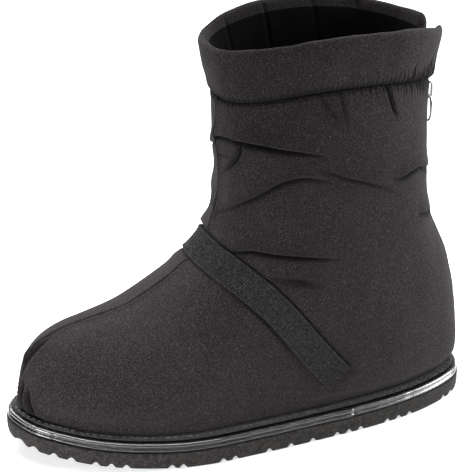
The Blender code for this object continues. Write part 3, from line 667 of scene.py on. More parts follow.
# Creases in the padding, as points on the skin in millimetres. Each has its
# trough's half width and depth, the puff beside it, how far the upper side
# laps over the lower, and how open its start and end are (0 fades, 1 stops).
CREASES = [
    (1.0, 3.0, 1.6, 1.3, 1.0, 0.0, [
        (2, -19, 198), (8, -19, 199.5), (19.5, -16.3, 201.5), (27.3, -12.3, 201.5),
        (38, -1.8, 200.4), (44.5, 10.5, 197.8), (47.6, 20.6, 196.4),
        (49.3, 31.1, 194.5), (49.8, 43, 190)]),
    (1.9, 3.0, 1.0, 1.6, 0.2, 0.0, [
        (16, -17.3, 200.8), (27.3, -12.3, 201.3), (38, -1.8, 200.2), (44.5, 10.5, 197.6),
        (47.6, 20.6, 196.2)]),
    (1.3, 2.2, 1.0, 0.5, 0.9, 0.1, [
        (27.3, -12.3, 201.5), (26.6, -12.4, 196.8), (25.6, -12.7, 193),
        (19.1, -15.5, 184.4), (8.3, -17.9, 175.5)]),
    (1.0, 0.9, 0.3, 0.2, 0.8, 0.0, [(4.8, -18.3, 187.1), (13.2, -17.3, 189), (22, -15, 191.6)]),
    (1.4, 1.5, 0.8, 0.6, 0.3, 0.0, [
        (6.6, -19.7, 148.1), (21.8, -14.5, 157.5), (32.1, -7.1, 165), (37.5, -0.6, 170.4),
        (41.8, 6.2, 175.8), (44.9, 13.5, 179), (47.1, 21.1, 180.2), (48.5, 29.2, 178.9),
        (49.3, 37.5, 176.9), (49.2, 46.4, 173.1), (48.8, 55.5, 169.9)]),
    (1.5, 1.0, 0.7, 0.4, 0.0, 0.0, [
        (47.5, 20.8, 190.6), (49.3, 34, 184.4), (49.3, 48.9, 177.6), (48.3, 61.7, 173),
        (46.2, 74.5, 167.7), (43.6, 83.6, 162.7), (39.7, 93.8, 156.2)]),
    (1.3, 1.9, 1.2, 0.8, 0.1, 0.8, [
        (45.5, 78.1, 172.8), (43.4, 84.7, 171.2), (40.8, 91.4, 170.2), (37.2, 98.9, 172.2),
        (32.3, 106.5, 172.7), (27.6, 112, 169.5), (16, 121, 167)]),
    (1.1, 2.4, 1.4, 1.3, 1.0, 0.0, [
        (20, -22.5, 130.5), (28.2, -18.2, 129.9), (35.5, -8.2, 131.8), (39.6, -1.1, 130.8),
        (43, 6.3, 129.7), (46.8, 19.6, 128.3), (48.8, 32.9, 126.5), (48.9, 57, 121.5)]),
    (3.0, 1.5, 1.3, 0.8, 0.6, 0.0, [
        (44.7, 3.4, 115.2), (46.5, 10.4, 114.3), (48.2, 17.2, 113.3), (48.9, 22.3, 112.1),
        (49.9, 27.2, 110.1), (50.4, 31.4, 107.3), (50.9, 35.2, 104.6)]),
    (1.6, 2.2, 1.2, 0.6, 0.1, 0.8, [
        (34, 105, 141), (30.6, 110.8, 139.8), (27, 115.2, 138.3), (18, 122, 136)]),
    (1.6, 0.8, 0.5, 0.2, 1.0, 0.0, [(49.9, 29.1, 234), (50.5, 36.5, 222.1), (50.5, 44, 213.1)]),
    (1.4, 0.8, 0.4, 0.2, 1.0, 0.0, [(50.8, 42, 234), (50.7, 45, 220.7), (50.4, 47.4, 210.5)]),
    (1.2, 1.5, 0.6, 0.3, 1.0, 0.0, [(47.5, 74.7, 234), (46.2, 79.1, 220.9), (44.4, 84.3, 209.2)]),
    (1.6, 6.5, 2.8, 1.0, 0.1, 0.2, [
        (-1.8, -149, 56), (-0.6, -145.6, 62), (0.0, -141, 67), (-0.4, -136, 71),
        (-2.2, -129, 75.4)]),
    (1.7, 5.5, 2.6, 0.0, 0.0, 1.0, [
        (8.2, -148.5, 50), (11.0, -147.5, 40), (13.4, -146.5, 30), (15.2, -147, 19)]),
    (1.3, 4.6, 2.0, 0.0, 0.0, 1.0, [
        (2.4, -150.5, 54), (4.6, -150, 42), (6.8, -149.5, 31), (8.4, -150, 19)]),
    (1.2, 3.2, 1.6, 1.2, 0.8, 0.0, [
        (-4, -20, 192), (-16, -17, 188), (-30, -10, 190), (-41, 4, 193), (-47, 20, 191),
        (-49.5, 38, 186)]),
    (1.4, 2.4, 1.3, 0.9, 0.6, 0.0, [
        (-6, -20, 152), (-22, -14, 160), (-36, -3, 166), (-44, 12, 170), (-48, 32, 171),
        (-49, 55, 168)]),
    (1.3, 2.1, 1.2, 0.7, 0.1, 0.9, [
        (-48, 60, 181), (-45, 76, 176), (-40, 92, 174), (-30, 108, 172), (-16, 120, 170)]),
    (1.1, 2.6, 1.4, 1.2, 1.0, 0.0, [
        (-24, -20, 131), (-36, -7, 133), (-44, 9, 130), (-49, 30, 127), (-50, 54, 121)]),
    (1.8, 1.6, 1.0, 0.6, 0.1, 0.6, [
        (-44, 86, 140), (-38, 100, 141), (-28, 113, 139), (-16, 124, 136)]),
    (1.8, 1.0, 0.5, 0.2, 1.0, 0.0, [(-50, 38, 234), (-50.5, 46, 221), (-50, 52, 209)]),
    (1.5, 1.1, 0.5, 0.2, 1.0, 0.0, [(-45, 82, 234), (-44, 88, 221), (-42, 92, 211)]),
]

# Creases at least this deep and no wider than this get the darkest painted shade; the painted halo
# of shade round them is lighter
DARK_DEPTH = 0.0016
DARK_WIDTH = 0.0020
CREASE_HALO = 0.34

# The seam's run over the upper's middle, in millimetres
FRONT_SEAM = [
    (3.0, -20, 240), (3.2, -19.5, 213), (3.0, -19, 197), (2.2, -18.4, 166),
    (1.2, -19.6, 150), (1.5, -24.5, 135), (1.2, -39.8, 116.2), (0.6, -57, 104),
    (-1.5, -71.5, 95), (-4.2, -93.7, 85.8), (-5.4, -107, 82.2), (-5.0, -120.4, 78.8),
    (-4.4, -132, 73.8), (-3.6, -140.4, 67.8), (-3.2, -146, 61.2), (-1.4, -149.6, 53.8),
    (0.2, -151.3, 42.8), (3.8, -150.5, 32), (4.6, -151, 18),
]
SEAM_WIDTH = 0.0007
SEAM_DEPTH = 0.0011
SEAM_PUFF = 0.0009
SEAM_STITCH_PITCH = 0.0030
SEAM_STITCH_ASIDE = 0.0030
COLLAR_TUCK = 0.0026
PUCKER_DEPTH = 0.00075

STRAP_WIDTH = 0.0220
STRAP_SLOPE = math.radians(47.0)
STRAP_BOW = 0.0050
STRAP_AHEAD = 0.0100
STRAP_END_HEIGHT = 0.0390
STRAP_PRESS = 0.0010

AROUND = 500
UP_ROWS = 330
LINING_ROWS = 36
FEATHER_STATIONS = 400

feather_turns = np.linspace(0, 1, FEATHER_STATIONS)
feather_inset = np.full(FEATHER_STATIONS, UPPER_INSET)
FEATHER_OUTER = sole_edge(feather_turns, 1, feather_inset)
FEATHER_INNER = sole_edge(feather_turns, -1, feather_inset)
FEATHER_END = HALF_LENGTH - UPPER_INSET


def collar_level(y):
    """Height of the seam between shaft and cuff."""
    away = (y - SHAFT_CENTRE) / (SHAFT_LENGTH / 2)
    return COLLAR_HEIGHT + COLLAR_RISE * away / 2 - COLLAR_DIP * away ** 2


def upper_field(x, y, z):
    """Below zero inside the upper's outer skin, zero on it."""
    outer = np.interp(y, FEATHER_OUTER[:, 1], FEATHER_OUTER[:, 0])
    inner = np.interp(y, FEATHER_INNER[:, 1], FEATHER_INNER[:, 0])
    beyond = np.clip(np.abs(y) - FEATHER_END, 0, None)
    middle = (outer + inner) / 2
    half = np.maximum((outer - inner) / 2, 1e-4)
    base = (np.abs(x - middle) / half - 1) * half + beyond * 4
    turn = np.arccos(np.clip(-y / FEATHER_END, -1, 1)) / np.pi
    tall = INSTEP_RISE * smooth_table(VAMP, 1, turn)
    rise = z - UPPER_BASE - spring(y)
    share = np.clip(rise / tall, 0, None)
    swell = UPPER_BULGE * ease(share / 0.35) * ease(half / 0.03)
    across = np.abs(x - middle) / (half + swell)
    lift = np.clip((share - 0.12) / 0.88, 0, None)
    foot = ((across ** 2.35 + lift ** 2.35) ** (1 / 2.35) - 1) * half + beyond * 4
    level = z / collar_level(y)
    front = smooth_table(SHAFT, 1, level) * SHAFT_LENGTH / 2
    back = smooth_table(SHAFT, 2, level) * SHAFT_LENGTH / 2
    wide = smooth_table(SHAFT, 3, level) * SHAFT_HALF_WIDTH
    along = (y - SHAFT_CENTRE - (front + back) / 2) / ((back - front) / 2)
    aside = (x - middle) / wide
    radius = (np.abs(along) ** 2.4 + np.abs(aside) ** 2.4) ** (1 / 2.4)
    shaft = (radius - 1) * wide
    blend = np.clip(0.5 + 0.5 * (shaft - foot) / THROAT_BLEND, 0, 1)
    joined = shaft * (1 - blend) + foot * blend - THROAT_BLEND * blend * (1 - blend)
    grown = ease(rise / 0.012)
    return base * (1 - grown) + joined * grown


def skin_points(v, angles):
    """Points on the skin; v is 0 at the welt and 1 at the collar."""
    centre = SHAFT_CENTRE * ease(v / 0.5)
    reach = FEATHER_END + (SHAFT_LENGTH / 2 - FEATHER_END) * ease(v / 0.55)
    step_x = np.sin(angles) * SHAFT_HALF_WIDTH
    step_y = -np.cos(angles) * reach
    low = np.zeros(np.shape(angles))
    high = np.full(np.shape(angles), 1.9)

    def place(scale):
        y = centre + step_y * scale
        feather = UPPER_BASE + spring(y)
        tilt = RING_TILT * 4 * v * (1 - v) * (-y / HALF_LENGTH)
        return step_x * scale, y, feather * (1 - v) + collar_level(y) * v + tilt

    for _ in range(30):
        middle = (low + high) / 2
        inside = upper_field(*place(middle)) < 0
        low = np.where(inside, middle, low)
        high = np.where(inside, high, middle)
    scale = (low + high) / 2
    return np.stack(place(scale), axis=-1), scale


def grid_normals(grid):
    """Outward directions over a grid of rows up the boot and columns round it."""
    up = np.gradient(grid, axis=0)
    round_ = np.gradient(grid, axis=1)
    out = np.cross(round_, up)
    out /= np.linalg.norm(out, axis=-1, keepdims=True) + 1e-12
    return out


def nearest_on_path(points, path):
    """Distance to a path, how far along it (0 to 1), and the offset from it."""
    path = np.asarray(path, dtype=float)
    lengths = np.linalg.norm(np.diff(path, axis=0), axis=1)
    run = np.concatenate([[0], np.cumsum(lengths)])
    best = np.full(len(points), 1e9)
    along = np.zeros(len(points))
    offset = np.zeros((len(points), 3))
    heading = np.zeros((len(points), 3))
    for start, end, length, before in zip(path[:-1], path[1:], lengths, run):
        direction = (end - start) / length
        t = np.clip((points - start) @ direction, 0, length)
        gap = points - start - t[:, None] * direction
        away = np.linalg.norm(gap, axis=1)
        closer = away < best
        best = np.where(closer, away, best)
        along = np.where(closer, (before + t) / run[-1], along)
        offset = np.where(closer[:, None], gap, offset)
        heading = np.where(closer[:, None], direction, heading)
    return best, along, offset, heading


def smooth_path(points, count=60):
    """A rounded path through a few points."""
    points = np.asarray(points, dtype=float)
    knots = run_along(points)
    at = np.linspace(0, knots[-1], count)
    rows = [(knot, *point) for knot, point in zip(knots, points)]
    return np.column_stack([smooth_table(rows, k, at) for k in (1, 2, 3)])


def crease_relief(points, out):
    """How far the creases move the skin out, and how much painted shade each point gets from them.
    """
    moved = np.zeros(len(points))
    shade = np.zeros(len(points))
    for width, depth, puff, lap, start, end, path in CREASES:
        width, depth, puff, lap = np.array([width, depth, puff, lap]) / 1000
        path = smooth_path(np.asarray(path) / 1000, 24)
        reach = max(width * 9, 0.02)
        low = path.min(axis=0) - reach
        high = path.max(axis=0) + reach
        close = np.all((points > low) & (points < high), axis=1)
        if not close.any():
            continue
        away, along, offset, heading = nearest_on_path(points[close], path)
        opened = 1 - (1 - start) * (1 - ease(along / 0.35))
        shut = 1 - (1 - end) * (1 - ease((1 - along) / 0.45))
        force = opened * shut
        upward = np.einsum("ij,ij->i", offset, np.cross(heading, out[close]))
        upward = upward / (away + 1e-6)
        flip = np.sign(np.cross(heading, out[close])[:, 2])
        upward = upward * flip
        trough = np.exp(-(away / width) ** 2)
        beside = np.exp(-(away / (width * 2 + 0.0055)) ** 2)
        lapped = lap * beside * np.clip(upward, -0.5, 1.0) * (1 - trough)
        moved[close] += force * (puff * beside - (depth + puff) * trough + lapped)
        # Painted shade: darkest along the trough, with a lighter halo of it round the fold.
        core = np.exp(-(away / (width * 1.25)) ** 2)
        halo = CREASE_HALO * np.exp(-(away / (width * 2.2 + 0.0022)) ** 2)
        dark = min(depth / DARK_DEPTH, 1) * min(DARK_WIDTH / width, 1)
        shade[close] = np.maximum(shade[close], force * np.maximum(core, halo) * dark)
    return moved, shade


def strap_frame():
    """Middle of the strap's ring, its direction ahead and across, and its half drop."""
    ahead = np.array([0, -math.cos(STRAP_SLOPE), math.sin(STRAP_SLOPE)])
    across = np.array([0, math.sin(STRAP_SLOPE), math.cos(STRAP_SLOPE)])
    instep_y = SHAFT_CENTRE - SHAFT_LENGTH / 2 - STRAP_AHEAD
    instep_z = UPPER_BASE + INSTEP_RISE
    core_z = (instep_z + STRAP_END_HEIGHT) / 2
    core_y = instep_y + (instep_z - core_z) / math.tan(STRAP_SLOPE)
    drop = (core_z - STRAP_END_HEIGHT) / math.sin(STRAP_SLOPE)
    return np.array([0, core_y, core_z]), ahead, across, drop


def strap_press(points):
    """The dent under the strap and the soft swell beside its edges."""
    core, ahead, across, drop = strap_frame()
    from_core = points - core
    forward = from_core @ ahead
    angle = np.arctan2(forward, np.abs(points[:, 0]))
    end_angle = math.atan2(-drop, SOLE_HALF_WIDTH - UPPER_INSET)
    share = (angle - end_angle) / (math.pi - 2 * end_angle)
    bow = STRAP_BOW * (1 - np.cos(4 * np.pi * share)) / 2
    beside = np.abs(from_core @ across - bow) - STRAP_WIDTH / 2
    held = ease((angle - end_angle) / 0.04 + 1)
    under = 1 - ease((beside + 0.0015) / 0.0030)
    swell = np.exp(-((beside - 0.0065) / 0.0045) ** 2)
    return held * (0.0007 * swell - STRAP_PRESS * under), under * held


LINT_PER_METRE = 75.0


def brushed_cloth(name, dark, pale, lint_share=0.6, gloss=0.10):
    """Black cloth with a fine pale nap, soft clouds and stray lint, darkened towards near black by
    painted shade that a point attribute lays in creases, seams and hollows.
    """
    finish = Finish(name, Specular_IOR_Level=gloss, Sheen_Weight=gloss * 0.4, Sheen_Roughness=0.5)
    nap = finish.grain(0.0008, 1.0, 0.6)
    cloud = finish.grain(0.034, 3.0)
    mix = finish.ramp(nap * 0.92 + cloud * 0.08, [(0.30, 0.0), (0.50, 0.18), (0.72, 1.0)])
    cloth = finish.between(mix, dark, pale)
    spread = {"Vector": finish.place(), "Scale": LINT_PER_METRE}
    dust = finish.node("TexVoronoi", {}, spread)
    chosen = finish.node("TexVoronoi", {}, spread, output=1)
    red = finish.node("SeparateColor", {}, {"Color": chosen})
    lint = (dust < 0.032) * (red > 0.72)
    cloth = finish.between(lint * lint_share, cloth, (0.20, 0.19, 0.19, 1))
    # Painted shade: the point attribute read here darkens the cloth towards near black where
    # creases, seams, hollows and undersides lie in shade.
    deep = finish.node("Attribute", {"attribute_name": "crease"}, {}, output=2)
    cloth = finish.between(deep * 0.88, cloth, (0.0012, 0.0011, 0.0012, 1))
    finish.feed("Base Color", cloth)
    finish.feed("Roughness", 0.78 + nap * 0.20)
    finish.relief(nap, 0.0005, 1.0)
    return finish.material


def lined(name, vertices, faces, finishes, inside, shade, node, body):
    """A cloth shell with its lining: which faces are inside, and how much painted shade darkens
    each point.
    """
    mesh = bpy.data.meshes.new(name)
    mesh.from_pydata(np.asarray(vertices).tolist(), [], faces)
    mesh.shade_smooth()
    for finish in finishes:
        mesh.materials.append(finish)
    mesh.polygons.foreach_set("material_index", np.asarray(inside, dtype=np.int32))
    # This point attribute carries the painted shade that the cloth darkens by.
    layer = mesh.attributes.new("crease", "FLOAT", "POINT")
    layer.data.foreach_set("value", np.asarray(shade, dtype=float))
    made = placed(name, mesh)
    weld_seams(mesh)
    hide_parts(node)
    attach(made, body)
    return made


rows_v = np.linspace(0, 1, UP_ROWS)
rows_v = rows_v - 0.10 * np.sin(2 * np.pi * rows_v) / (2 * np.pi)
back_points, back_scale = skin_points(rows_v, np.full(UP_ROWS, math.pi))
opening = np.clip((back_points[:, 2] - ZIP_BOTTOM) / (ZIP_SLOT / 2), 0, 1)
half_slot = ZIP_SLOT / 2 * np.sqrt(np.clip(1 - (1 - opening) ** 2, 0, 1))
slot_turn = np.arcsin(half_slot / (SHAFT_HALF_WIDTH * back_scale))
shares = np.linspace(0, 1, AROUND + 1)
angles = np.pi + slot_turn[:, None] + (2 * np.pi - 2 * slot_turn[:, None]) * shares[None, :]
v_grid = np.repeat(rows_v[:, None], AROUND + 1, axis=1)
skin, _ = skin_points(v_grid.ravel(), angles.ravel())
skin = skin.reshape(UP_ROWS, AROUND + 1, 3)
out = grid_normals(skin)
closed_rows = half_slot <= 0
joined = out[:, 0] + out[:, -1]
joined /= np.linalg.norm(joined, axis=-1, keepdims=True)
out[closed_rows, 0] = joined[closed_rows]
out[closed_rows, -1] = joined[closed_rows]
if np.mean(np.einsum("ijk,ijk->ij", out, skin - np.array([0, SHAFT_CENTRE, 0.12]))) < 0:
    out = -out

flat = skin.reshape(-1, 3)
flat_out = out.reshape(-1, 3)
above = flat[:, 2] - UPPER_BASE - spring(flat[:, 1])
below = collar_level(flat[:, 1]) - flat[:, 2]
loose = ease(above / 0.014) * ease(below / 0.010)
puff = lumps(flat, 17) * 0.0016 + lumps(flat, 45, (3, 1, 7)) * 0.0006
puff += lumps(flat, 120, (9, 4, 2)) * 0.00016
pressed, under_strap = strap_press(flat)
creased, depth_shade = crease_relief(flat, flat_out)
away, _, _, _ = nearest_on_path(flat, smooth_path(np.asarray(FRONT_SEAM) / 1000, 90))
seam = SEAM_PUFF * (np.exp(-(away / 0.0042) ** 2) - np.exp(-(away / SEAM_WIDTH) ** 2))
seam -= SEAM_DEPTH * np.exp(-(away / SEAM_WIDTH) ** 2)
free = 1 - under_strap
collar_tuck = -COLLAR_TUCK * np.exp(-(below / 0.0020) ** 2)
turn_round = np.arctan2(flat[:, 0], flat[:, 1] - SHAFT_CENTRE)
pucker = np.sin(turn_round * 118 + 3 * np.sin(turn_round * 7) + below * 260)
pucker += 0.6 * np.sin(turn_round * 71 + 2 * np.sin(turn_round * 11))
towards_back = np.exp(-(turn_round / 1.0) ** 2)
pucker_reach = 0.0045 + 0.0060 * towards_back
pucker_force = (0.55 + 0.40 * towards_back) * np.exp(-(below / pucker_reach) ** 2)
collar_tuck += PUCKER_DEPTH * pucker * pucker_force
feather_tuck = -0.0012 * np.exp(-(above / 0.0022) ** 2)
from_slot = np.abs(flat[:, 0]) - np.repeat(half_slot, AROUND + 1)
behind = (flat[:, 1] > SHAFT_CENTRE) & (flat[:, 2] > ZIP_BOTTOM)
zip_edge = np.where(behind, 0.0008 * np.exp(-((from_slot - 0.0022) / 0.0014) ** 2)
                    - 0.0012 * np.exp(-(from_slot / 0.0009) ** 2)
                    - 0.0005 * np.exp(-((from_slot - 0.0046) / 0.0006) ** 2), 0)
moved = puff * loose * free + pressed * loose + creased * free * ease(above / 0.004)
moved += seam * free + collar_tuck + feather_tuck + zip_edge
dressed = flat + flat_out * moved[:, None]
# Painted shade: along the front seam's groove, in a band just under the cuff's seam, and in the
# puckers' hollows, on top of the creases' painted shade.
shade = np.clip(depth_shade * free + 0.95 * np.exp(-(away / 0.0008) ** 2) * free, 0, 1)
shade = np.maximum(shade, 0.95 * np.exp(-(below / 0.0020) ** 2))
shade = np.maximum(shade, np.clip(-pucker, 0, 1) * pucker_force * 1.1)
dressed_grid = dressed.reshape(UP_ROWS, AROUND + 1, 3)

lining_pick = np.linspace(0, UP_ROWS - 1, LINING_ROWS).round().astype(int)
lining_move = (puff * loose * 0.6).reshape(UP_ROWS, AROUND + 1)[lining_pick]
lining_grid = skin[lining_pick] - out[lining_pick] * (UPPER_WALL - lining_move)[..., None]
columns = AROUND + 1
vertices = np.concatenate([dressed_grid.reshape(-1, 3), lining_grid.reshape(-1, 3)])
faces = []
for i in range(UP_ROWS - 1):
    for j in range(AROUND):
        a = i * columns + j
        faces.append((a, a + 1, a + columns + 1, a + columns))
lining_start = UP_ROWS * columns
for i in range(LINING_ROWS - 1):
    for j in range(AROUND):
        a = lining_start + i * columns + j
        faces.append((a, a + columns, a + columns + 1, a + 1))
top = (UP_ROWS - 1) * columns
lining_top = lining_start + (LINING_ROWS - 1) * columns
for j in range(AROUND):
    faces.append((j, lining_start + j, lining_start + j + 1, j + 1))
    faces.append((top + j, top + j + 1, lining_top + j + 1, lining_top + j))
for side in (0, AROUND):
    for i in range(LINING_ROWS - 1):
        low_row = int(lining_pick[i])
        high_row = int(lining_pick[i + 1])
        if half_slot[high_row] <= 0:
            continue
        outer_run = [row * columns + side for row in range(low_row, high_row + 1)]
        inner_low = lining_start + i * columns + side
        inner_high = inner_low + columns
        for a, b in zip(outer_run[:-1], outer_run[1:]):
            faces.append((a, b, inner_low))
        faces.append((outer_run[-1], inner_high, inner_low))
all_shade = np.concatenate([shade, np.zeros(len(lining_grid.reshape(-1, 3)))])
CLOTH = brushed_cloth("brushed cloth", (0.0066, 0.0054, 0.0058, 1), (0.0520, 0.0432, 0.0458, 1))
# The lining's near-black colour is partly the lining's own black and partly painted shade inside
# the boot and the cuff.
LINING_WITH_PAINTED_SHADE = brushed_cloth("lining cloth with painted shade", (0.0012, 0.0012, 0.0012, 1),
                       (0.0032, 0.0032, 0.0032, 1), 0.3, 0.03)
inside = np.zeros(len(faces), dtype=np.int32)
lining_faces = slice((UP_ROWS - 1) * AROUND, (UP_ROWS + LINING_ROWS - 2) * AROUND)
inside[lining_faces] = 1
padded_upper = lined("padded_upper", vertices, faces, (CLOTH, LINING_WITH_PAINTED_SHADE), inside, all_shade,
                     "upper", "boot")

skin_tree = BVHTree.FromPolygons(dressed.tolist(), faces[:(UP_ROWS - 1) * AROUND])


def on_skin(points, lift=0.0):
    """Points moved onto the finished skin, and the skin's direction there."""
    places, ways = [], []
    for point in np.asarray(points):
        found, way, _, _ = skin_tree.find_nearest(Vector(point))
        if (Vector(point) - Vector((0, SHAFT_CENTRE, point[2]))).dot(way) < 0:
            way = -way
        places.append(found + way * lift)
        ways.append(way)
    return np.array([tuple(p) for p in places]), np.array([tuple(w) for w in ways])


DARK_THREAD = sewing_thread("dark thread", (0.003, 0.003, 0.003, 1), (0.014, 0.013, 0.0135, 1))
for side, shift in (("inner", -SEAM_STITCH_ASIDE), ("outer", SEAM_STITCH_ASIDE)):
    path = smooth_path(np.asarray(FRONT_SEAM[1:-1]) / 1000, 200) + np.array([shift, 0, 0])
    places, headings = spaced(path, SEAM_STITCH_PITCH)
    core, ahead_dir, across_dir, _ = strap_frame()
    clear = np.abs((places - core) @ across_dir) > STRAP_WIDTH / 2 + 0.001
    places, ways = on_skin(places[clear], 0.0001)
    sewn("seam_stitches_" + side, places, headings[clear], ways,
         (0.0022, 0.0005, 0.0004, 0.1), DARK_THREAD, "boot", 5)

# ---- cuff --------------------------------------------------------------
# A stuffed band of the same cloth, sewn into the collar's seam. It flares out
# to a thin top edge, slopes down inside, is gathered along the seam most at
# the back, and parts in a V over the zip. Its lining has sewn upright tucks.

CUFF_HEIGHT = 0.0330
CUFF_THICKNESS = 0.0125
CUFF_SPLIT_LOW = 0.0030
CUFF_SPLIT_TOP = 0.0090
CUFF_END_ROUND = 0.0060
CUFF_STATIONS = 620
CUFF_STEPS = 72
CUFF_STITCH_PITCH = 0.0034
COLLAR_STATIONS = 721
COLLAR_PROBE = 0.004
GATHER_PITCH = 0.0034
GATHER_DEPTH = 0.0009

# step round the section, outward, upward (shares of thickness and height)
CUFF_SECTION = [
    (0.000, -0.20, -0.050), (0.030, -0.05, -0.005), (0.060, 0.09, 0.075),
    (0.13, 0.23, 0.28), (0.23, 0.40, 0.55), (0.32, 0.54, 0.79),
    (0.385, 0.580, 0.93), (0.43, 0.47, 1.00), (0.475, 0.29, 0.975),
    (0.54, 0.11, 0.83), (0.64, -0.10, 0.60), (0.74, -0.26, 0.35),
    (0.86, -0.34, 0.10), (0.92, -0.34, -0.02), (0.965, -0.29, -0.050),
    (1.000, -0.20, -0.050),
]

# Soft folds that slant up from the seam, most of them near the back: share of
# the way round from the zip, slant, length up the band, depth (FOLD_SCALE of
# these to a metre)
LONG_FOLDS = [
    (0.045, 0.006, 0.55, 1.3), (0.075, 0.010, 0.70, 1.6), (0.108, 0.012, 0.62, 1.5),
    (0.150, 0.012, 0.85, 1.0), (0.205, 0.008, 0.50, 0.6), (0.95, -0.008, 0.6, 1.3),
    (0.915, -0.012, 0.7, 1.4), (0.87, -0.010, 0.5, 0.8), (0.33, -0.004, 0.4, 0.5),
]
FOLD_SCALE = 750

# Tucks in the lining: share of the way round from the zip (outer side
# first), depth and half width in millimetres
LINING_TUCKS = [
    (0.06, 0.8, 1.6), (0.13, 1.2, 1.4), (0.21, 0.9, 1.8), (0.30, 1.1, 1.5),
    (0.38, 0.8, 1.7), (0.46, 1.0, 1.5), (0.545, 1.5, 1.4), (0.575, 0.9, 1.6),
    (0.640, 2.0, 1.3), (0.690, 0.8, 2.0), (0.735, 1.4, 1.3), (0.80, 1.9, 1.3),
    (0.87, 0.9, 1.8), (0.94, 1.0, 1.6),
]

dense_turn = np.linspace(math.pi, 3 * math.pi, COLLAR_STATIONS)
collar_line, _ = skin_points(np.ones(COLLAR_STATIONS), dense_turn)
collar_line = collar_line[:, :2]
collar_run = run_along(collar_line)


def collar_place(run):
    """Points on the collar's seam and their outward directions, in plan."""
    x = np.interp(run, collar_run, collar_line[:, 0])
    y = np.interp(run, collar_run, collar_line[:, 1])
    ahead = np.minimum(run + COLLAR_PROBE, collar_run[-1])
    behind = np.maximum(run - COLLAR_PROBE, 0)
    dx = np.interp(ahead, collar_run, collar_line[:, 0]) - np.interp(
        behind, collar_run, collar_line[:, 0])
    dy = np.interp(ahead, collar_run, collar_line[:, 1]) - np.interp(
        behind, collar_run, collar_line[:, 1])
    size = np.hypot(dx, dy)
    outward = np.stack([-dy / size, dx / size], axis=-1)
    inside = outward[:, 0] * x + outward[:, 1] * (y - SHAFT_CENTRE) < 0
    outward[inside] *= -1
    return x, y, outward


share_round = np.linspace(0, 1, CUFF_STATIONS)
section_steps = np.linspace(0, 1, CUFF_STEPS + 1)[:-1]
section_out = smooth_table(CUFF_SECTION, 1, section_steps)
section_up = smooth_table(CUFF_SECTION, 2, section_steps)
back_pull = np.exp(-(np.minimum(share_round, 1 - share_round) / 0.11) ** 2)
gather_force = 0.70 + 1.1 * back_pull
gather_phase = np.cumsum(1 + 0.55 * np.array(
    [noise.noise(Vector((s * 90, 3, 5))) for s in share_round]))
gather_phase *= collar_run[-1] / GATHER_PITCH * 2 * math.pi / gather_phase[-1]
rings = []
for out_share, up_share in zip(section_out, section_up):
    split = CUFF_SPLIT_LOW + (CUFF_SPLIT_TOP - CUFF_SPLIT_LOW) * np.clip(up_share, 0, 1)
    run = split + (collar_run[-1] - 2 * split) * share_round
    x, y, outward = collar_place(run)
    z = collar_level(y) + GAP + up_share * CUFF_HEIGHT
    x = x + outward[:, 0] * out_share * CUFF_THICKNESS
    y = y + outward[:, 1] * out_share * CUFF_THICKNESS
    rings.append(np.stack([x, y, z], axis=-1))
cuff = np.stack(rings, axis=1)
middle = cuff.mean(axis=1, keepdims=True)
ends = np.minimum(share_round, 1 - share_round) * collar_run[-1] / CUFF_END_ROUND
rounded = np.sqrt(np.clip(1 - (1 - np.clip(ends, 0, 1)) ** 2, 0, 1))
cuff = middle + (cuff - middle) * rounded[:, None, None]
along = np.gradient(cuff, axis=0)
over = np.roll(cuff, -1, axis=1) - np.roll(cuff, 1, axis=1)
cuff_out = np.cross(over, along)
cuff_out /= np.linalg.norm(cuff_out, axis=-1, keepdims=True) + 1e-12
if np.einsum("ijk,ijk->", cuff_out, cuff - middle) < 0:
    cuff_out = -cuff_out

up_grid = np.broadcast_to(section_up[None, :], cuff.shape[:2])
out_side = np.broadcast_to(section_steps[None, :], cuff.shape[:2]) < 0.5
flat = cuff.reshape(-1, 3)
puff = lumps(flat, 26) * 0.0014 + lumps(flat, 75, (2, 8, 1)) * 0.0005
puff = puff.reshape(cuff.shape[:2])
slant = up_grid * (1.1 + 2.2 * back_pull[:, None])
wave = np.sin(gather_phase[:, None] + slant * 3)
fine = np.sin(gather_phase[:, None] * 2.3 + 1.3)
fade = np.exp(-(up_grid / (0.12 + 0.22 * back_pull[:, None])) ** 2)
tied = ease(section_steps / 0.06)[None, :] * out_side
gather = GATHER_DEPTH * gather_force[:, None] * (0.7 * wave + 0.3 * fine) * fade * tied
# fold_shade is painted shade in the troughs of the long folds and of the lining's tucks.
long_fold = np.zeros(cuff.shape[:2])
fold_shade = np.zeros(cuff.shape[:2])
for at, lean, length, deep in LONG_FOLDS:
    reach = np.abs(share_round[:, None] - at + lean * up_grid * 2.4) * collar_run[-1]
    strength = (1 - ease(up_grid / length)) * out_side
    long_fold += deep / FOLD_SCALE * strength * (
        0.5 * np.exp(-(reach / 0.0050) ** 2) - 1.3 * np.exp(-(reach / 0.0014) ** 2))
    fold_shade = np.maximum(fold_shade, 0.8 * strength * np.exp(-(reach / 0.0012) ** 2))
tuck = np.zeros(cuff.shape[:2])
inside = (~out_side) & (up_grid < 0.96)
for at, deep, wide in LINING_TUCKS:
    reach = np.abs(share_round[:, None] - at) * collar_run[-1]
    line = np.exp(-(reach / (wide / 1000)) ** 2)
    tuck -= deep / 1000 * 0.8 * line * inside * ease((0.99 - up_grid) / 0.1)
    fold_shade = np.maximum(fold_shade, 0.85 * np.exp(-(reach / (wide / 1600)) ** 2)
                            * inside * min(deep / 1.5, 1))
seam_fade = ease(np.clip(up_grid, 0, 1) / 0.10)
calm = rounded[:, None]
cuff_move = (puff * (0.25 + 0.75 * seam_fade) + gather + long_fold + tuck) * calm
cuff_points = cuff + cuff_out * cuff_move[..., None]
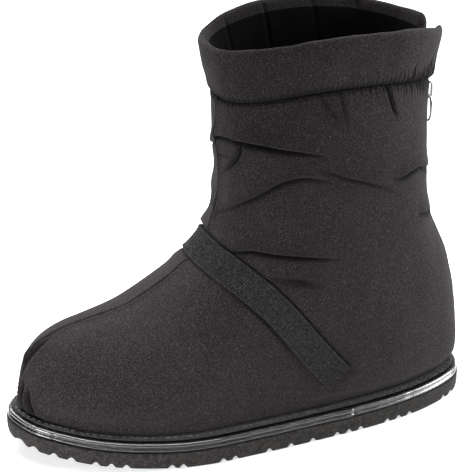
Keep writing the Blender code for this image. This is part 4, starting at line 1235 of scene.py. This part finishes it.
# Painted shade: along the cuff's foot by its seam, in the gathers' hollows, and over the whole
# inner slope; the inner faces also take the near-black lining, which is partly painted shade.
seam_shade = 0.95 * np.exp(-(np.maximum(up_grid, 0) / 0.060) ** 2) * out_side
hollows = np.clip(-0.7 * wave - 0.3 * fine, 0, 1)
seam_shade = np.maximum(seam_shade, 0.7 * hollows * fade * out_side)
cuff_shade = np.maximum(seam_shade, fold_shade)
inner_slope = (section_steps > 0.44).astype(float)
cuff_shade = np.maximum(cuff_shade, 0.62 * inner_slope[None, :])
cuff_faces = wrapped_faces(CUFF_STATIONS, CUFF_STEPS)
lining_from = int(np.argmax(section_steps > 0.55))
inside = np.tile(np.arange(CUFF_STEPS) >= lining_from, CUFF_STATIONS - 1).astype(np.int32)
padded_cuff = lined("padded_cuff", cuff_points.reshape(-1, 3), cuff_faces, (CLOTH, LINING_WITH_PAINTED_SHADE),
                    inside, cuff_shade.ravel(), "cuff", "boot")

seam_path = []
seam_end = collar_run[-1] - CUFF_SPLIT_LOW
for run in np.linspace(CUFF_SPLIT_LOW + 0.001, seam_end - 0.001, 400):
    x, y, outward = collar_place(np.array([run]))
    seam_path.append((x[0] - outward[0, 0] * 0.0003, y[0] - outward[0, 1] * 0.0003,
                      collar_level(y[0]) - 0.0016))
places, headings = spaced(seam_path, CUFF_STITCH_PITCH)
_, _, ways = collar_place(np.linspace(CUFF_SPLIT_LOW, seam_end, len(places)))
ways = np.column_stack([ways, np.zeros(len(ways))])
sewn("cuff_stitches", places, headings, ways,
     (0.0022, 0.0006, 0.0005, 0.2), DARK_THREAD, "boot", 8)

# ---- strap -------------------------------------------------------------
# Ribbed black webbing, 22 mm wide, over the instep in a slanting plane. Its
# cross ribs run from selvedge to selvedge, it presses into the padding, and a
# close row of stitches holds each cut end near the sole.

STRAP_THICKNESS = 0.0016
RIB_PITCH = 0.00135
RIB_HEIGHT = 0.00050
STRAP_STITCH_INSET = 0.0028
STRAP_STITCH_PITCH = 0.0011
STRAP_LIFT = 0.0010
STRAP_STATIONS = 1500
STRAP_COLUMNS = 23
BED_STATIONS = 240

core, ahead_dir, across_dir, strap_drop = strap_frame()
end_angle = math.atan2(-strap_drop, SOLE_HALF_WIDTH - UPPER_INSET)
coarse_points = np.zeros((BED_STATIONS + 1, STRAP_COLUMNS, 3))
for i in range(BED_STATIONS + 1):
    angle = end_angle + (math.pi - 2 * end_angle) * i / BED_STATIONS
    toward = np.array([math.cos(angle), 0, 0]) + ahead_dir * math.sin(angle)
    bow = STRAP_BOW * (1 - math.cos(4 * math.pi * i / BED_STATIONS)) / 2
    for j in range(STRAP_COLUMNS):
        start = core + across_dir * (bow + STRAP_WIDTH * (j / (STRAP_COLUMNS - 1) - 0.5))
        hit, _, _, _ = skin_tree.ray_cast(Vector(start + toward * 0.3), Vector(-toward), 0.3)
        coarse_points[i, j] = hit
for _ in range(10):
    padded_run = np.concatenate([coarse_points[:1], coarse_points, coarse_points[-1:]])
    coarse_points = padded_run[:-2] * 0.25 + padded_run[1:-1] * 0.5 + padded_run[2:] * 0.25
    flanks = np.concatenate([coarse_points[:, :1], coarse_points, coarse_points[:, -1:]], axis=1)
    coarse_points = flanks[:, :-2] * 0.2 + flanks[:, 1:-1] * 0.6 + flanks[:, 2:] * 0.2
middle_run = run_along(coarse_points[:, STRAP_COLUMNS // 2])
fine_run = np.linspace(0, middle_run[-1], STRAP_STATIONS)
bed = np.zeros((STRAP_STATIONS, STRAP_COLUMNS, 3))
for j in range(STRAP_COLUMNS):
    for k in range(3):
        bed[:, j, k] = np.interp(fine_run, middle_run, coarse_points[:, j, k])
strap_out = np.cross(np.gradient(bed, axis=1), np.gradient(bed, axis=0))
strap_out /= np.linalg.norm(strap_out, axis=-1, keepdims=True)
if np.einsum("ijk,ijk->", strap_out, bed - core) < 0:
    strap_out = -strap_out
side_share = np.abs(np.linspace(-1, 1, STRAP_COLUMNS))
ribbed = 1 - ease((side_share - 0.86) / 0.06)
rib = 0.5 - 0.5 * np.cos(2 * np.pi * fine_run / RIB_PITCH)
near_end = np.minimum(fine_run, middle_run[-1] - fine_run)
sewn_dent = np.exp(-((near_end - STRAP_STITCH_INSET) / 0.0010) ** 2) * 0.0006
sewn_dent += 0.0007 * (1 - ease(near_end / 0.0016))
selvedge = 0.00022 * np.exp(-((side_share - 0.93) / 0.05) ** 2)
edge_round = 0.0007 * ease((side_share - 0.94) / 0.06)
height = STRAP_THICKNESS + RIB_HEIGHT * (rib[:, None] - 1) * ribbed[None, :]
height = height + selvedge[None, :] - edge_round[None, :] - sewn_dent[:, None]
face_up = bed + strap_out * (STRAP_LIFT + height)[..., None]
face_down = bed + strap_out * 0.0002
strap_grid = np.concatenate([face_up, face_down[:, ::-1]], axis=1)
strap_faces = wrapped_faces(STRAP_STATIONS, 2 * STRAP_COLUMNS)
caps = []
for base in (0, (STRAP_STATIONS - 1) * 2 * STRAP_COLUMNS):
    for j in range(STRAP_COLUMNS - 1):
        caps.append((base + j, base + j + 1,
                     base + 2 * STRAP_COLUMNS - 2 - j, base + 2 * STRAP_COLUMNS - 1 - j))
WEBBING = brushed_cloth("strap webbing", (0.009, 0.0085, 0.0095, 1), (0.100, 0.094, 0.101, 1), 0.5)
# Painted shade: in the rib grooves, at the cut ends and all over the underside; along both rims it
# is partly the selvedge's own dark edge and partly painted shade.
rib_shade = np.zeros(strap_grid.shape[:2])
groove_shade = (1 - rib)[:, None] * ribbed[None, :]
rim_shade = ease((side_share - 0.90) / 0.06)[None, :] * (0.88 + 0.12 * (rib > 0.5))[:, None]
rim_shade = np.maximum(rim_shade, 0.9 * (1 - ease((near_end[:, None] - 0.0006) / 0.0012)))
rib_shade[:, :STRAP_COLUMNS] = np.maximum(groove_shade, rim_shade)
rib_shade[:, STRAP_COLUMNS:] = 1.0
lined("ribbed_strap", strap_grid.reshape(-1, 3), strap_faces + caps, (WEBBING,),
      np.zeros(len(strap_faces) + len(caps)), rib_shade.ravel(), "strap", "boot")

for label, from_end in (("outer", fine_run), ("inner", middle_run[-1] - fine_run)):
    row_at = int(np.argmin(np.abs(from_end - STRAP_STITCH_INSET)))
    row = face_up[row_at, 1:-1] + strap_out[row_at, 1:-1] * 0.0002
    places, _ = spaced(row, STRAP_STITCH_PITCH)
    middle_line = face_up[:, STRAP_COLUMNS // 2]
    lay = middle_line[row_at + 4] - middle_line[row_at - 4]
    headings = np.tile(lay / np.linalg.norm(lay), (len(places), 1))
    ways = np.tile(strap_out[row_at, STRAP_COLUMNS // 2], (len(places), 1))
    sewn("strap_stitches_" + label, places, headings, ways,
         (0.0026, 0.0008, 0.0008, 0.15), DARK_THREAD, "boot", 11)

# ---- zip ---------------------------------------------------------------
# A black coil zip up the back, set a millimetre into its slot: woven tape, two
# rows of moulded teeth, and a bright nickel slider with a wire bridge, closed
# to the top. Its oval wire pull hangs in the bridge and swings.

TAPE_DEPTH = 0.0010
TAPE_THICKNESS = 0.0020
TOOTH_PITCH = 0.0016
SLIDER_WIDTH = 0.0090
SLIDER_LENGTH = 0.0150
SLIDER_PLATE = 0.0018
SLIDER_DROP = 0.0050
BRIDGE_RADIUS = 0.0009
BRIDGE_RISE = 0.0040
BRIDGE_SPAN = 0.0104
PULL_WIRE = 0.0008
PULL_WIDTH = 0.0120
PULL_LENGTH = 0.0190
CHAIN_THICKNESS = 0.0016
ZIP_STATIONS = 260
WEAVE_PITCH = 0.0012
SLIDER_POINTS = 48
RING_POINTS = 96
ZIP_TOP = float(collar_level(SHAFT_CENTRE + SHAFT_LENGTH / 2)) - GAP


def back_line(z):
    """Where the bare skin crosses the boot's middle at the back."""
    low = np.full(np.shape(z), SHAFT_CENTRE)
    high = np.full(np.shape(z), HALF_LENGTH)
    for _ in range(40):
        middle = (low + high) / 2
        inside = upper_field(np.zeros(np.shape(z)), middle, z) < 0
        low = np.where(inside, middle, low)
        high = np.where(inside, high, middle)
    return (low + high) / 2


# across (shares of the tape's half width), depth from its plain face (metres)
TAPE_SECTION = [
    (-1, 0.0), (-0.96, -0.0002), (-0.6, 0.0), (-0.3, 0.0001), (0.3, 0.0001),
    (0.6, 0.0), (0.96, -0.0002), (1, 0.0),
]
zip_z = np.linspace(ZIP_BOTTOM + GAP, ZIP_TOP, ZIP_STATIONS)
tape_face = back_line(zip_z) - TAPE_DEPTH
tape_half = ZIP_SLOT / 2 - GAP
weave = 0.00008 * np.cos(2 * np.pi * zip_z / WEAVE_PITCH)
tape_lines = []
for share, depth in TAPE_SECTION:
    tape_lines.append(np.column_stack(
        [np.full(ZIP_STATIONS, share * tape_half), tape_face + depth + weave, zip_z]))
for share in (1, -1):
    tape_lines.append(np.column_stack(
        [np.full(ZIP_STATIONS, share * tape_half), tape_face - TAPE_THICKNESS, zip_z]))
tape = np.stack(tape_lines, axis=1)
around_tape = len(tape_lines)
last_ring = around_tape * (ZIP_STATIONS - 1)
tape_faces = wrapped_faces(ZIP_STATIONS, around_tape)
tape_faces += [tuple(range(around_tape)), tuple(range(last_ring, last_ring + around_tape))]
ZIP_TAPE = woven_tape("zip tape", (0.008, 0.008, 0.009, 1), (0.022, 0.021, 0.023, 1), 0.0005)
shaped("woven_zip_tape", tape.reshape(-1, 3), tape_faces, ZIP_TAPE, "boot", "zip_tape")

nylon = Finish("zip nylon", Roughness=0.38, Specular_IOR_Level=0.5)
worn = nylon.grain(0.0035, 3.0)
nylon.feed("Base Color", nylon.between(worn, (0.010, 0.010, 0.011, 1), (0.035, 0.035, 0.037, 1)))
nylon.feed("Roughness", 0.30 + worn * 0.25)
tooth_z = np.arange(ZIP_BOTTOM + 0.003, ZIP_TOP - 0.001, TOOTH_PITCH / 2)
tooth_y = back_line(tooth_z) - TAPE_DEPTH + GAP + CHAIN_THICKNESS * 0.42
tooth_x = np.where(np.arange(len(tooth_z)) % 2 == 0, -0.0010, 0.0010)
tooth_ways = np.tile([0.0, 1.0, 0.0], (len(tooth_z), 1))
tooth_lay = np.tile([1.0, 0.0, 0.0], (len(tooth_z), 1))
teeth = sewn("zip_teeth", np.column_stack([tooth_x, tooth_y, tooth_z]), tooth_lay, tooth_ways,
             (0.0030, 0.0012, 0.0013, 0.02), nylon.material, "boot", 13)
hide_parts("zip_chain")


def nickel(name, roughness):
    """Nickel plate with a faint haze from handling."""
    finish = Finish(name, Metallic=1.0)
    haze = finish.grain(0.0022, 3.0)
    finish.feed("Base Color", finish.between(
        haze, (0.17, 0.17, 0.18, 1), (0.46, 0.46, 0.47, 1)))
    finish.feed("Roughness", roughness + haze * 0.14)
    finish.relief(haze, 0.00008, 0.5)
    return finish.material


NICKEL = nickel("nickel", 0.16)
slider_z = ZIP_TOP - SLIDER_DROP - SLIDER_LENGTH / 2
seat_heights = slider_z + np.array([-0.5, 0.0, 0.5]) * SLIDER_LENGTH
slider_seat = float(np.max(back_line(seat_heights))) - (TAPE_DEPTH - GAP - CHAIN_THICKNESS) + GAP
plate_face = slider_seat + SLIDER_PLATE


def slider_ring(depth, shrink):
    """The slider plate's outline, wide above the join and waisted below."""
    points = []
    for step in range(SLIDER_POINTS):
        angle = 2 * math.pi * step / SLIDER_POINTS
        across = math.copysign(abs(math.sin(angle)) ** 0.55, math.sin(angle))
        up = math.copysign(abs(math.cos(angle)) ** 0.55, math.cos(angle))
        taper = 0.86 + 0.14 * up - 0.06 * math.exp(-((up + 0.1) / 0.4) ** 2)
        points.append((across * (SLIDER_WIDTH / 2 - shrink) * taper, slider_seat + depth,
                       slider_z + up * (SLIDER_LENGTH / 2 - shrink)))
    return points


levels = [(0.0, 0.0022), (0.0, 0.0005), (0.0004, 0.0), (SLIDER_PLATE - 0.0005, 0.0),
          (SLIDER_PLATE - 0.0001, 0.0004), (SLIDER_PLATE, 0.0012), (SLIDER_PLATE + 0.0001, 0.0026)]
plate = np.array([slider_ring(depth, shrink) for depth, shrink in levels])
last_ring = SLIDER_POINTS * (len(levels) - 1)
plate_faces = wrapped_faces(len(levels), SLIDER_POINTS)
plate_faces += [tuple(range(SLIDER_POINTS)), tuple(range(last_ring, last_ring + SLIDER_POINTS))]
shaped("slider_plate", plate.reshape(-1, 3), plate_faces, NICKEL, "boot", "zip_slider")


def wire(name, path, radius, finish, body, node=None, closed=False, sides=14):
    """Round wire bent along a path in the YZ plane or a ring."""
    path = np.asarray(path)
    if closed:
        ahead = np.roll(path, -1, axis=0) - np.roll(path, 1, axis=0)
    else:
        ahead = np.gradient(path, axis=0)
    ahead /= np.linalg.norm(ahead, axis=1, keepdims=True)
    plane = np.array([0.0, 1.0, 0.0]) if closed else np.array([1.0, 0.0, 0.0])
    second = np.cross(ahead, plane)
    second /= np.linalg.norm(second, axis=1, keepdims=True)
    rings = []
    for step in range(sides):
        angle = 2 * math.pi * step / sides
        rings.append(path + radius * (math.cos(angle) * plane + math.sin(angle) * second))
    grid = np.stack(rings, axis=1)
    faces = wrapped_faces(len(path), sides, True, closed)
    if not closed:
        faces += [tuple(range(sides)), tuple(range(sides * (len(path) - 1), sides * len(path)))]
    return shaped(name, grid.reshape(-1, 3), faces, finish, body, node)


half_span = BRIDGE_SPAN / 2
bridge_points = [
    (-SLIDER_PLATE / 2, half_span), (BRIDGE_RISE * 0.40, half_span * 1.0),
    (BRIDGE_RISE * 0.75, half_span * 0.93), (BRIDGE_RISE * 0.96, half_span * 0.70),
    (BRIDGE_RISE, half_span * 0.35), (BRIDGE_RISE, 0.0), (BRIDGE_RISE, -half_span * 0.35),
    (BRIDGE_RISE * 0.96, -half_span * 0.70), (BRIDGE_RISE * 0.75, -half_span * 0.93),
    (BRIDGE_RISE * 0.40, -half_span * 1.0), (-SLIDER_PLATE / 2, -half_span),
]
bridge_path = smooth_path(
    [(0, plate_face + out_, slider_z + up_) for out_, up_ in bridge_points], 56)
wire("slider_bridge", bridge_path, BRIDGE_RADIUS, NICKEL, "boot")

hinge_y = plate_face + (BRIDGE_RISE - BRIDGE_RADIUS) / 2 + 0.0001
hinge_z = slider_z - half_span + BRIDGE_RADIUS + PULL_WIRE + GAP
half_wide = PULL_WIDTH / 2 - PULL_WIRE
half_long = PULL_LENGTH / 2 - PULL_WIRE
ring_path = []
for step in range(RING_POINTS):
    angle = 2 * math.pi * step / RING_POINTS
    across = math.copysign(abs(math.sin(angle)) ** 0.85, math.sin(angle))
    down = math.copysign(abs(math.cos(angle)) ** 0.9, math.cos(angle))
    ring_path.append((half_wide * across, hinge_y, hinge_z + half_long * (down - 1)))
wire("pull_ring", ring_path, PULL_WIRE, nickel("pull nickel", 0.12), "pull", "zip_pull",
     closed=True)

# ---- studio ------------------------------------------------------------
# A white floor that glows a little, so the picture's ground stays pale, a wide
# soft box overhead, a narrow one on the toe, one behind the heel, and one on
# the floor beyond the boot, as in a plain catalogue picture.

FLOOR_REACH = 6.0
FLOOR_DROP = 0.0002
FLOOR_GLOW = 0.62

paper = Finish("studio paper", Roughness=0.9, Specular_IOR_Level=0.1,
               Emission_Color=(1, 1, 1, 1), Emission_Strength=FLOOR_GLOW)
fibre = paper.grain(0.02, 2.0)
paper.feed("Base Color", paper.between(fibre, (0.60, 0.60, 0.60, 1), (0.63, 0.63, 0.63, 1)))
floor_mesh = bpy.data.meshes.new("studio_floor")
floor_mesh.from_pydata([
    (-FLOOR_REACH, -FLOOR_REACH, -FLOOR_DROP), (FLOOR_REACH, -FLOOR_REACH, -FLOOR_DROP),
    (FLOOR_REACH, FLOOR_REACH, -FLOOR_DROP), (-FLOOR_REACH, FLOOR_REACH, -FLOOR_DROP),
], [], [(0, 1, 2, 3)])
floor_mesh.materials.append(paper.material)
studio_floor = placed("studio_floor", floor_mesh)

world = bpy.data.worlds.new("studio")
world.use_nodes = True
world.node_tree.nodes["Background"].inputs["Color"].default_value = (1, 1, 1, 1)
world.node_tree.nodes["Background"].inputs["Strength"].default_value = 0.12
bpy.context.scene.world = world


def soft_box(name, place, aim, width, height, power, spread=180):
    """One rectangular studio light, turned to its aim."""
    light = bpy.data.lights.new(name, "AREA")
    light.shape = "RECTANGLE"
    light.size = width
    light.size_y = height
    light.energy = power
    light.spread = math.radians(spread)
    lamp = bpy.data.objects.new(name, light)
    lamp.location = place
    lamp.rotation_euler = (Vector(aim) - Vector(place)).to_track_quat("-Z", "Y").to_euler()
    bpy.context.scene.collection.objects.link(lamp)


soft_box("overhead_box", (-0.10, 0.0, 1.35), (0, 0, 0.10), 0.8, 1.2, 20.0)
soft_box("toe_box", (0.38, -0.78, 0.22), (0.02, -0.13, 0.035), 0.4, 0.3, 0.46, 28)
soft_box("heel_box", (0.10, 1.25, 0.65), (0, 0.05, 0.14), 0.8, 0.9, 25.0)
soft_box("backdrop_box", (-1.6, 0.0, 1.6), (-1.5, 0.0, 0.0), 1.6, 3.0, 75.0)

# The picture's own viewpoint: on the outer side, looking 22 degrees down,
# turned 20 degrees towards the toe. The picture's height, the focal length and
# the shifts are in its pixels.
PICTURE_HEIGHT = 472
FOCAL_LENGTH = 1553
SHIFT_ACROSS = 2
SHIFT_UP = 14
SENSOR = 36.0
VIEW_TURN = math.radians(20)
VIEW_DROP = math.radians(22)
VIEW_DISTANCE = 0.982
VIEW_TARGET = Vector((0.0187, -0.0167, 0.1277))
toward_camera = Vector((math.cos(VIEW_DROP) * math.cos(VIEW_TURN),
                        -math.cos(VIEW_DROP) * math.sin(VIEW_TURN), math.sin(VIEW_DROP)))
lens = bpy.data.cameras.new("catalogue_camera")
lens.sensor_width = SENSOR
lens.lens = FOCAL_LENGTH * SENSOR / PICTURE_HEIGHT
lens.shift_x = SHIFT_ACROSS / PICTURE_HEIGHT
lens.shift_y = SHIFT_UP / PICTURE_HEIGHT
camera = bpy.data.objects.new("catalogue_camera", lens)
camera.location = VIEW_TARGET + toward_camera * VIEW_DISTANCE
camera.rotation_euler = (-toward_camera).to_track_quat("-Z", "Y").to_euler()
bpy.context.scene.collection.objects.link(camera)
bpy.context.scene.camera = camera
bpy.context.scene.view_settings.view_transform = "Standard"
